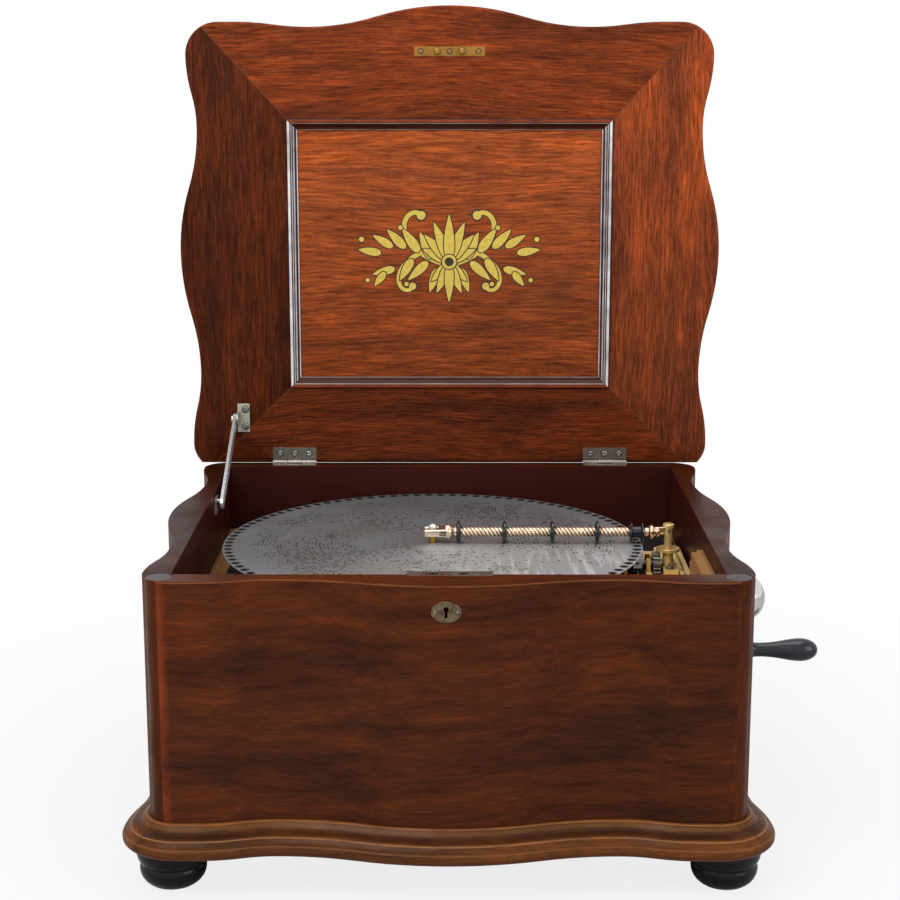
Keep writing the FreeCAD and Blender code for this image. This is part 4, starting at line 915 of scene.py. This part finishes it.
class MUSICBOX_OT_ornament(bpy.types.Operator):
    """Generic gold scrolls and leaves with a black outline on the lid's panel"""

    bl_idname = "musicbox.ornament"
    bl_label = "Ornament"

    face = 223.9
    middle = (-0.5, 494.0)
    outline = 1.1

    def lay(self, shape, verts, layer, turn, x, z, mirrored):
        """Stands flat work against the panel; each next layer lies a hair in front of the last."""
        turning = Matrix.Rotation(turn, 4, "Z")
        flip = Matrix.Diagonal((-1 if mirrored else 1, 1, 1, 1))
        standing = Matrix.Rotation(math.pi / 2, 4, "X")
        place = Matrix.Translation(
            Vector((self.middle[0], self.face - 0.05 - layer * 0.012, self.middle[1]))
        )
        moved = Matrix.Translation(Vector((x, z, 0)))
        matrix = Matrix.Scale(MM, 4) @ place @ standing @ flip @ moved @ turning
        bmesh.ops.transform(shape, matrix=matrix, verts=verts)

    def leaf(self, shape, layer, grow, x, z, long, wide, turn, mirrored=False):
        """One pointed leaf, drawn from its foot."""
        verts = bmesh.ops.create_circle(shape, cap_ends=True, segments=24, radius=0.5)["verts"]
        for vert in verts:
            share = vert.co.x + 0.5
            taper = (1.0 - share) ** 0.45 * 1.15
            vert.co.x = share * (long + 2 * grow) - grow
            vert.co.y *= wide * taper + 2 * grow
        self.lay(shape, verts, layer, turn, x, z, mirrored)

    def scroll(self, shape, layer, grow, start, heading, long, curl, wide, mirrored=False):
        """A stem that curls up tighter towards its end, made by turning and pushing out an edge."""
        steps = 44
        half = wide / 2 + grow
        edge = [shape.verts.new((0, -half, 0)), shape.verts.new((0, half, 0))]
        verts = list(edge)
        edges = [shape.edges.new(edge)]
        narrow = 1.0 - 0.35 / steps
        place = Vector((0, 0, 0))
        way = 0.0
        for i in range(steps):
            share = i / steps
            step = Vector((math.cos(way), math.sin(way), 0)) * long * (1.3 - 0.8 * share) / steps
            bend = curl * (0.25 + 1.6 * share ** 1.5) / steps
            made = bmesh.ops.extrude_edge_only(shape, edges=edges)["geom"]
            edges = [g for g in made if isinstance(g, bmesh.types.BMEdge)]
            new = [g for g in made if isinstance(g, bmesh.types.BMVert)]
            bmesh.ops.translate(shape, vec=step, verts=new)
            place += step
            way += bend
            bmesh.ops.rotate(shape, cent=place, matrix=Matrix.Rotation(bend, 3, "Z"), verts=new)
            bmesh.ops.scale(
                shape, vec=(narrow, narrow, 1), verts=new, space=Matrix.Translation(-place)
            )
            verts += new
        knob = bmesh.ops.create_circle(
            shape, cap_ends=True, segments=20, radius=half * 1.5
        )["verts"]
        bmesh.ops.translate(shape, vec=place, verts=knob)
        self.lay(shape, verts, layer, heading, start[0], start[1], mirrored)
        self.lay(shape, knob, layer + 0.25, heading, start[0], start[1], mirrored)

    def dot(self, shape, layer, grow, x, z, radius, mirrored=False):
        verts = bmesh.ops.create_circle(
            shape, cap_ends=True, segments=20, radius=radius + grow
        )["verts"]
        self.lay(shape, verts, layer, 0.0, x, z, mirrored)

    def half(self, shape, grow, mirrored):
        """One side: a long scroll, a counter scroll under it, and leaves growing off both."""
        layer = 0 if grow else 0.5
        self.scroll(shape, layer, grow, (8, -4), 0.35, 92, 4.4, 6.0, mirrored)
        self.scroll(shape, layer + 1, grow, (30, 6), -0.50, 66, -4.8, 5.0, mirrored)
        leaves = (
            (18, 0, 30, 11, 1.15), (31, 7, 30, 11, 0.95), (45, 11, 27, 10, 0.80),
            (58, 12, 24, 9, 0.55),
            (22, -3, 28, 10, -0.75), (38, 0, 26, 10, -1.05), (56, -10, 24, 9, -0.25),
            (70, 6, 24, 9, 0.15), (66, -14, 18, 8, -0.9), (12, -10, 26, 10, -1.25),
        )
        for i, (x, z, long, wide, turn) in enumerate(leaves):
            self.leaf(shape, layer + 2 + i, grow, x, z, long, wide, turn, mirrored)
        for i, (x, z, radius) in enumerate(
            ((90, 20, 2.6), (84, -22, 2.2), (50, 32, 2.4), (44, -26, 2.2))
        ):
            self.dot(shape, layer + 13 + i, grow, x, z, radius, mirrored)

    def palmette(self, shape, grow):
        """The middle: a fan of leaves above, a smaller one below, and a ring where they meet."""
        layer = 18 if grow else 18.5
        for i, (turn, long) in enumerate(
            ((1.15, 30), (-1.15, 30), (0.76, 37), (-0.76, 37), (0.38, 43), (-0.38, 43), (0, 48))
        ):
            self.leaf(shape, layer + i, grow, 0, -2, long, 12, math.pi / 2 + turn)
        for i, (turn, long) in enumerate(((0.8, 26), (-0.8, 26), (0.4, 33), (-0.4, 33), (0, 40))):
            self.leaf(shape, layer + 7 + i, grow, 0, -5, long, 10.5, -math.pi / 2 + turn)
        self.dot(shape, layer + 12, grow, 0, -3, 7.5)
        if grow:
            self.dot(shape, layer + 13, 0, 0, -3, 4.6)

    def execute(self, context):
        for name, grow, ink in (
            (
                "ornament_outline", self.outline,
                transfer_ink("Ornament black", paint(34, 20, 14), 2.4),
            ),
            ("ornament_gold", 0.0, transfer_ink("Ornament gold", paint(232, 200, 84), 0.72)),
        ):
            shape = bmesh.new()
            self.half(shape, grow, False)
            self.half(shape, grow, True)
            self.palmette(shape, grow)
            bmesh.ops.solidify(shape, geom=shape.faces[:], thickness=0.004 * MM)
            bmesh.ops.recalc_face_normals(shape, faces=shape.faces)
            add_piece(name, shape, "lid", ink)
        return {"FINISHED"}


class MUSICBOX_OT_disc(bpy.types.Operator):
    """Steel tune disc with its rings of punched slots"""

    bl_idname = "musicbox.disc"
    bl_label = "Disc"

    def execute(self, context):
        steel = context.scene.musicbox_metal.disc
        dressed("disc", punched_disc("Punched disc steel", steel), 0.15 * MM, 1)
        return {"FINISHED"}


class MUSICBOX_OT_bar(bpy.types.Operator):
    """Rope-turned pressure bar, and the tip of the spindle that its fork straddles"""

    bl_idname = "musicbox.bar"
    bl_label = "Pressure bar"

    height = 261.5
    depth = DISC_MIDDLE[1]
    rollers = (8.8, 51.9, 96.8, 139.0)

    def rope(self, shape, metal_set, start, end):
        """Strands twisted round the bar, made by turning and pushing out a lobed ring."""
        strands = metal_set.strands
        ring = bmesh.ops.create_circle(shape, segments=strands * 8, radius=1.0)["verts"]
        for vert in ring:
            angle = math.atan2(vert.co.y, vert.co.x)
            lobe = 0.74 + 0.26 * abs(math.sin(strands * angle / 2)) ** 0.7
            vert.co.x *= lobe
            vert.co.y *= lobe
        upright = Matrix.Rotation(math.pi / 2, 4, "Y")
        place = Matrix.Translation(Vector((start, self.depth, self.height)) * MM)
        matrix = place @ upright @ Matrix.Scale(metal_set.bar_radius, 4)
        bmesh.ops.transform(shape, matrix=matrix, verts=ring)
        edges = list({e for v in ring for e in v.link_edges})
        steps = max(2, round((end - start) / 0.9))
        step = (end - start) / steps * MM
        centre = Vector((0, self.depth, self.height)) * MM
        turn = Matrix.Rotation(2 * math.pi * step / metal_set.lead, 3, "X")
        bmesh.ops.edgeloop_fill(shape, edges=edges)
        for _ in range(steps):
            made = bmesh.ops.extrude_edge_only(shape, edges=edges)["geom"]
            verts = [g for g in made if isinstance(g, bmesh.types.BMVert)]
            edges = [g for g in made if isinstance(g, bmesh.types.BMEdge)]
            bmesh.ops.rotate(shape, cent=centre, matrix=turn, verts=verts)
            bmesh.ops.translate(shape, vec=(step, 0, 0), verts=verts)
        bmesh.ops.edgeloop_fill(shape, edges=edges)

    def fork(self):
        """Two cheeks either side of the spindle, joined by a waisted neck."""
        y, z = self.depth, self.height
        shape = bmesh.new()
        for side in (-1, 1):
            low = min(side * 4.3, side * 7.8)
            high = max(side * 4.3, side * 7.8)
            add_into(shape, block((-23.5, y + low, z - 3.6), (-1, y + high, z + 3.6), 1.4))
        add_into(shape, block((-10.5, y - 7.8, z - 3.6), (-1.5, y + 7.8, z + 3.6), 1.2))
        neck = (
            (-3.6, 0), (-3.6, 6.8), (-2.2, 7.6), (0.2, 7.4), (2.4, 5.2), (4.6, 4.4), (5.6, 5.2),
            (6.4, 5.2), (6.4, 0),
        )
        add_into(shape, turned_shape(neck, (0, y, z), (1, 0, 0)))
        return shape

    def head(self):
        """Turned head beyond the last roller, and the flat tongue in the pillar."""
        y, z = self.depth, self.height
        profile = (
            (184, 0), (184, 4.3), (187, 4.3), (188.4, 6.2), (189.4, 6.6), (191, 6.2), (192.4, 4.0),
            (194, 3.4), (195.6, 4.6), (197, 4.0), (197.6, 0),
        )
        shape = turned_shape(profile, (0, y, z), (1, 0, 0))
        add_into(shape, block((193, y - 1.4, 259.8), (207.5, y + 1.4, 266.2), 0.5))
        add_into(
            shape,
            turned_shape(
                ((-1.4, 1.3), (-1.4, 3.4), (1.4, 3.4), (1.4, 1.3), (-1.4, 1.3)), (206, y, 263),
                (0, 1, 0),
            ),
        )
        return shape

    def execute(self, context):
        metal_set = context.scene.musicbox_metal
        gilt = metal(
            "Worn gilt bar", metal_set.bar, paint(150, 92, 56), 0.2, blotch=110.0, age=0.5, wear=0.6
        )
        shape = bmesh.new()
        starts = (5.6,) + tuple(x + 2.4 for x in self.rollers)
        ends = tuple(x - 2.4 for x in self.rollers) + (168.0,)
        for start, end in zip(starts, ends):
            if end - start > 2:
                self.rope(shape, metal_set, start, end)
        core = turned_shape(
            ((4, 0), (4, 2.95), (185, 2.95), (185, 0)), (0, self.depth, self.height), (1, 0, 0), 24
        )
        add_into(shape, core)
        add_into(shape, self.fork())
        add_into(shape, self.head())
        bmesh.ops.recalc_face_normals(shape, faces=shape.faces)
        add_piece("rope_turned_bar", shape, "bar", gilt, ("pressure_bar",), 50)
        ball = (
            (260.2, 0), (260.2, 3.1), (262.4, 3.1), (263.2, 3.5), (264.8, 3.9), (266.6, 3.9),
            (268.2, 3.2), (269.2, 1.9), (269.6, 0),
        )
        bright = metal(
            "Spindle nickel", paint(236, 232, 224), paint(170, 160, 144), 0.16, age=0.3, bare=0.7
        )
        add_piece(
            "spindle_top", turned_shape(ball, (DISC_MIDDLE[0], self.depth, 0), (0, 0, 1), 40),
            "case", bright,
        )
        return {"FINISHED"}


class MUSICBOX_OT_rollers(bpy.types.Operator):
    """Black rollers on the pressure bar, and the grooved one over the disc's rim"""

    bl_idname = "musicbox.rollers"
    bl_label = "Rollers"

    def execute(self, context):
        bar = MUSICBOX_OT_bar
        black = black_lacquer("Roller black", paint(16, 20, 30), 0.07, 0.6)
        flange = (
            (-2.3, 3.05), (-2.3, 5.6), (-2.0, 7.2), (-1.5, 9.0), (-0.7, 10.0), (0.7, 10.0),
            (1.5, 9.0), (2.0, 7.2),
            (2.3, 5.6), (2.3, 3.05), (-2.3, 3.05),
        )
        for i, x in enumerate(bar.rollers):
            shape = turned_shape(flange, (x, bar.depth, bar.height), (1, 0, 0))
            name = "roller_" + str(i + 1)
            add_piece(
                name + "_turned", shape, frame["nodes"][name]["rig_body"], black, (name,), 30
            )
        spool = (
            (-7.0, 3.05), (-7.0, 5.6), (-6.2, 8.6), (-5.4, 10.1), (-4.8, 10.1), (-4.0, 8.6),
            (-3.5, 5.6),
            (3.5, 5.6), (4.0, 8.6), (4.8, 10.1), (5.4, 10.1), (6.2, 8.6), (7.0, 5.6), (7.0, 3.05),
            (-7.0, 3.05),
        )
        shape = turned_shape(spool, (176, bar.depth, bar.height), (1, 0, 0))
        body = frame["nodes"]["roller_edge"]["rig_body"]
        add_piece("roller_edge_turned", shape, body, black, ("roller_edge",), 30)
        return {"FINISHED"}


class MUSICBOX_OT_crank(bpy.types.Operator):
    """Plated crank with its domed cap and black turned grip"""

    bl_idname = "musicbox.crank"
    bl_label = "Crank"

    def execute(self, context):
        nickel = metal("Crank nickel", paint(216, 216, 218), paint(130, 122, 110), 0.14, age=0.35)
        lacquer = black_lacquer("Grip lacquer", paint(10, 10, 24), 0.05, 0.5)
        grip = (
            (0, 3.1), (0, 7.4), (0.9, 8.4), (2.4, 8.6), (3.6, 7.4), (8, 6.6), (16, 6.6), (27, 7.7),
            (38, 9.8), (47, 11.1), (55, 10.9), (61.5, 8.6), (65.6, 5.0), (66.8, 0),
        )
        shape = turned_shape(grip, (283.3, 0, 147), (1, 0, 0))
        softened(add_piece("turned_grip", shape, "grip", lacquer, ("crank_grip",)))
        cap = (
            (0, 6.2), (0, 20.4), (1.4, 22), (5.6, 22), (8, 21.4), (13, 19.2), (18, 15.2),
            (21.4, 9.4),
            (22.8, 3.6), (23, 0),
        )
        shape = turned_shape(cap, (275, 0, 199), (1, 0, 0), 64)
        softened(add_piece("domed_cap", shape, "crank", nickel, ("crank_cap",)))
        for node in ("crank_arm", "crank_bush", "grip_pin", "crank_shaft"):
            dressed(node, nickel, 0.6 * MM if node == "crank_arm" else 0.2 * MM)
        return {"FINISHED"}


class MUSICBOX_OT_works(bpy.types.Operator):
    """Bedplate, combs, star wheels, gears, governor and pillar"""

    bl_idname = "musicbox.works"
    bl_label = "Works"

    def execute(self, context):
        colours = context.scene.musicbox_metal
        wood = context.scene.musicbox_wood
        japan = black_lacquer("Japanned iron", colours.japan, 0.28)
        gilt = metal("Gilt casting", colours.gilt, paint(140, 100, 50), 0.30, blotch=60.0, age=0.5)
        lacquered = metal(
            "Lacquered gilding", paint(255, 226, 158), paint(212, 160, 92), 0.34, blotch=75.0,
            age=0.5, bare=0.1,
        )
        pillar = metal(
            "Pillar brass", paint(236, 206, 140), paint(160, 126, 66), 0.2, blotch=60.0, age=0.4,
            bare=0.45,
        )
        brass = metal("Lacquered brass", colours.brass, paint(104, 74, 34), 0.26, age=0.6)
        steel = metal(
            "Bright steel", colours.steel, paint(92, 84, 76), 0.28, brush=(90.0, 900.0, 900.0)
        )
        rail = plain_wood("Rail spruce", wood.spruce, FRONT_TO_BACK)
        cleat = plain_wood("Cleat spruce", wood.spruce, FRONT_TO_BACK, (0.4, 0.1, 0))
        dress_all((
            (japan, 0.5, "bedplate governor_housing"),
            (gilt, 0.35, "comb_bases motor_plates"),
            (lacquered, 0.35, "bedplate_end"),
            (pillar, 0.35, "bar_pillar"),
            (brass, 0.25, "centre_spindle spring_barrel great_wheel winding_wheel governor_fan"),
            (brass, 0.35, "shaft_brackets stop_lever"),
        ))
        steel_nodes = (
            "comb_front", "comb_back", "sprocket", "sprocket_shaft", "star_arbor", "winding_arbor",
            "governor_shaft", "hinge_pins",
        )
        for node in steel_nodes:
            dressed(node, steel, 0.12 * MM, 1)
        dressed("star_wheels", steel, 0)
        dressed("bed_rails", rail, 0.4 * MM)
        dressed("side_cleat", cleat, 0.6 * MM)
        return {"FINISHED"}


class MUSICBOX_OT_hardware(bpy.types.Operator):
    """Hinges, lid stay, lock, link plate, escutcheon and their slotted screws"""

    bl_idname = "musicbox.hardware"
    bl_label = "Hardware"

    def slotted(self, shape, place, facing, radius, dome=0.35):
        """A screw head of two halves with a slot between them, facing along a direction."""
        head = bmesh.new()
        slot = 0.16 * radius
        for side in (-1, 1):
            half = bmesh.new()
            bmesh.ops.create_circle(half, cap_ends=True, segments=28, radius=radius)
            bmesh.ops.bisect_plane(
                half, geom=half.verts[:] + half.edges[:] + half.faces[:],
                plane_co=(0, side * slot, 0),
                plane_no=(0, -side, 0), clear_outer=True,
            )
            raised = bmesh.ops.extrude_face_region(half, geom=half.faces[:])["geom"]
            verts = [g for g in raised if isinstance(g, bmesh.types.BMVert)]
            bmesh.ops.translate(half, vec=(0, 0, dome), verts=verts)
            bmesh.ops.scale(half, vec=(0.88, 0.94, 1), verts=verts)
            bmesh.ops.recalc_face_normals(half, faces=half.faces)
            add_into(head, half)
        plain = set(head.faces)
        # A dark ring under each head, in the second material, is a painted countersink shadow.
        bmesh.ops.create_cone(
            head, cap_ends=True, segments=28, radius1=radius * 1.28, radius2=radius * 1.26,
            depth=0.1,
        )
        for face in head.faces:
            if face not in plain:
                face.material_index = 1
        rotation = Vector((0, 0, 1)).rotation_difference(Vector(facing)).to_matrix().to_4x4()
        spin = Matrix.Rotation(place[0] * 1.7 + place[2] * 0.9, 4, "Z")
        matrix = Matrix.Scale(MM, 4) @ Matrix.Translation(Vector(place)) @ rotation @ spin
        bmesh.ops.transform(head, matrix=matrix, verts=head.verts)
        add_into(shape, head)

    def execute(self, context):
        colours = context.scene.musicbox_metal
        nickel = metal(
            "Old nickel", paint(154, 147, 138), paint(96, 86, 74), 0.24, age=0.7, pits=0.12
        )
        heads = metal("Screw nickel", paint(214, 208, 198), paint(120, 108, 92), 0.2, age=0.5)
        brass = metal("Link brass", colours.brass, paint(112, 70, 42), 0.3, age=0.6)
        steel = metal("Lock steel", colours.steel, paint(92, 84, 76), 0.3)
        aged = metal(
            "Bronzed nickel", paint(122, 104, 80), paint(46, 36, 26), 0.26, blotch=150.0, age=0.9,
            wear=0.9,
        )
        bright = metal(
            "Stay nickel", paint(232, 236, 240), paint(168, 170, 172), 0.24, age=0.4, bare=0.6
        )
        plate = metal(
            "Bracket nickel", paint(206, 203, 186), paint(128, 120, 98), 0.26, age=0.6, bare=0.6,
            pits=0.1,
        )
        dress_all((
            (nickel, 0.2, "hinge_case_leaves hinge_lid_leaves"),
            (plate, 0.3, "stay_bracket stay_stud_plate"),
        ))
        dressed("escutcheon", aged, 0.35 * MM, 3)
        dress_all(
            (
                (bright, 0.4, "stay_arm"), (steel, 0.3, "lock_case"),
                (brass, 0.2, "link_plate lock_bolt"),
            )
        )
        for node in ("case_screws", "lid_screws"):
            dressed(node, steel, 0.15 * MM, 1)
        self.lid_heads(heads, brass)
        return {"FINISHED"}

    def lid_heads(self, nickel, brass):
        """Slotted heads over the lid's screws, which the CAD leaves plain."""
        shape = bmesh.new()
        for x0, x1 in ((-185.5, -140), (140, 185.5)):
            for share in (0.17, 0.5, 0.83):
                self.slotted(shape, (x0 + share * (x1 - x0), 220.75, 289.8), (0, -1, 0), 2.6, 0.25)
        for z in (319, 337):
            self.slotted(shape, (-213.5, 219.0, z), (0, -1, 0), 3.0)
        shadow = metal("Countersink shadow", paint(44, 38, 32), paint(24, 20, 16), 0.5, bare=0.3)
        add_piece("lid_screw_heads", shape, "lid", nickel).data.materials.append(shadow)
        shape = bmesh.new()
        for x in (-29, 0, 29):
            self.slotted(shape, (x, 220.7, 702.9), (0, -1, 0), 2.4, 0.25)
        add_piece("link_screw_heads", shape, "lid", brass).data.materials.append(shadow)


class MUSICBOX_OT_stage(bpy.types.Operator):
    """Pale floor, white surroundings, soft lamps and the camera"""

    bl_idname = "musicbox.stage"
    bl_label = "Stage"

    def lamp(self, name, place, aim, size, power):
        data = bpy.data.lights.new(name, "AREA")
        data.shape = "RECTANGLE"
        data.size, data.size_y = size
        data.energy = power
        lamp = bpy.data.objects.new(name, data)
        lamp.location = place
        lamp.rotation_euler = (Vector(aim) - Vector(place)).to_track_quat("-Z", "Y").to_euler()
        bpy.context.scene.collection.objects.link(lamp)

    def background(self, r, seen, unseen):
        """White where the camera, a reflection or glass sees it, and softer as light."""
        path = r.add("LightPath").outputs
        straight = r.maths("MAXIMUM", path["Is Camera Ray"], path["Is Transmission Ray"])
        white = r.maths("MAXIMUM", straight, path["Is Glossy Ray"])
        return r.maths("ADD", unseen, r.times(white, seen - unseen))

    def floor(self):
        material = bpy.data.materials.new("Floor")
        material.use_nodes = True
        tree = material.node_tree
        tree.nodes.clear()
        r = Recipe(tree)
        path = r.add("LightPath").outputs
        glow = r.add("Emission", {"Color": (1.0, 1.0, 1.0), "Strength": 1.0})
        grain = r.noise(r.add("TexCoord").outputs["Object"], 30.0)
        pale = r.mix(r.remap(grain, 0.3, 0.7, 0.0, 0.3), (0.82, 0.82, 0.82), (0.78, 0.78, 0.78))
        matt = r.add("BsdfDiffuse", {"Color": pale})
        x, y, z = r.split(r.add("TexCoord").outputs["Object"])
        away = r.distance(x, y)
        whiter = r.remap(away, 0.35, 0.9, 0.82, 1.0)
        share = r.times(path["Is Camera Ray"], whiter)
        both = r.add("MixShader", {0: share, 1: matt.outputs[0], 2: glow.outputs[0]})
        ending = r.add("OutputMaterial", {"Surface": both.outputs[0]})
        ending.is_active_output = True
        shape = bmesh.new()
        bmesh.ops.create_grid(shape, x_segments=1, y_segments=1, size=6.0)
        mesh = bpy.data.meshes.new("floor")
        shape.to_mesh(mesh)
        shape.free()
        mesh.materials.append(material)
        floor = bpy.data.objects.new("floor", mesh)
        bpy.context.scene.collection.objects.link(floor)

    def execute(self, context):
        stage = context.scene.musicbox_stage
        scene = context.scene
        data = bpy.data.cameras.new("Camera")
        data.sensor_width = 36
        data.lens = stage.lens
        camera = bpy.data.objects.new("Camera", data)
        camera.location = (stage.camera_side, -stage.camera_back, stage.camera_height)
        camera.rotation_euler = (math.pi / 2 - stage.tilt, 0, stage.turn)
        scene.collection.objects.link(camera)
        scene.camera = camera
        self.lamp("Key", (-1.1, -1.9, 2.1), (0, 0, 0.35), (1.6, 1.2), stage.key)
        self.lamp("Fill", (1.9, -1.5, 1.1), (0, 0, 0.35), (1.4, 1.4), stage.fill)
        self.lamp("Top", (0.1, 0.2, 2.4), (0, 0, 0.3), (1.8, 1.6), stage.fill * 1.4)
        self.floor()
        world = bpy.data.worlds.new("Studio")
        world.use_nodes = True
        scene.world = world
        r = Recipe(world.node_tree)
        back = world.node_tree.nodes["Background"]
        r.feed(back, "Color", (1.0, 1.0, 1.0))
        r.feed(back, "Strength", self.background(r, 1.0, 0.42))
        scene.view_settings.view_transform = "Standard"
        return {"FINISHED"}


class MUSICBOX_PT_panel(bpy.types.Panel):
    bl_label = "Disc music box"
    bl_idname = "MUSICBOX_PT_panel"
    bl_space_type = "VIEW_3D"
    bl_region_type = "UI"
    bl_category = "Music box"

    def draw(self, context):
        for settings in (
            context.scene.musicbox_wood, context.scene.musicbox_metal, context.scene.musicbox_stage,
        ):
            column = self.layout.column(align=True)
            for name in settings.__annotations__:
                column.prop(settings, name)
        for operator in operators:
            self.layout.operator(operator.bl_idname)


operators = (
    MUSICBOX_OT_case, MUSICBOX_OT_lid, MUSICBOX_OT_feet, MUSICBOX_OT_ornament, MUSICBOX_OT_disc,
    MUSICBOX_OT_bar, MUSICBOX_OT_rollers, MUSICBOX_OT_crank, MUSICBOX_OT_works,
    MUSICBOX_OT_hardware, MUSICBOX_OT_stage,
)
property_groups = (MusicBoxWood, MusicBoxMetal, MusicBoxStage)


def register():
    for cls in property_groups + operators + (MUSICBOX_PT_panel,):
        bpy.utils.register_class(cls)
    bpy.types.Scene.musicbox_wood = PointerProperty(type=MusicBoxWood)
    bpy.types.Scene.musicbox_metal = PointerProperty(type=MusicBoxMetal)
    bpy.types.Scene.musicbox_stage = PointerProperty(type=MusicBoxStage)


def unregister():
    del bpy.types.Scene.musicbox_stage
    del bpy.types.Scene.musicbox_metal
    del bpy.types.Scene.musicbox_wood
    for cls in (MUSICBOX_PT_panel,) + operators + property_groups:
        bpy.utils.unregister_class(cls)


def make_groups():
    groups["figure"] = make_mahogany_group()
    groups["wear"] = make_wear_group()
    groups["shade_and_grime"] = make_grime_group()
    groups["tarnish"] = make_tarnish_group()


def main():
    register()
    make_groups()
    for operator in operators:
        family, name = operator.bl_idname.split(".")
        getattr(getattr(bpy.ops, family), name)()


if __name__ == "__main__":
    main()
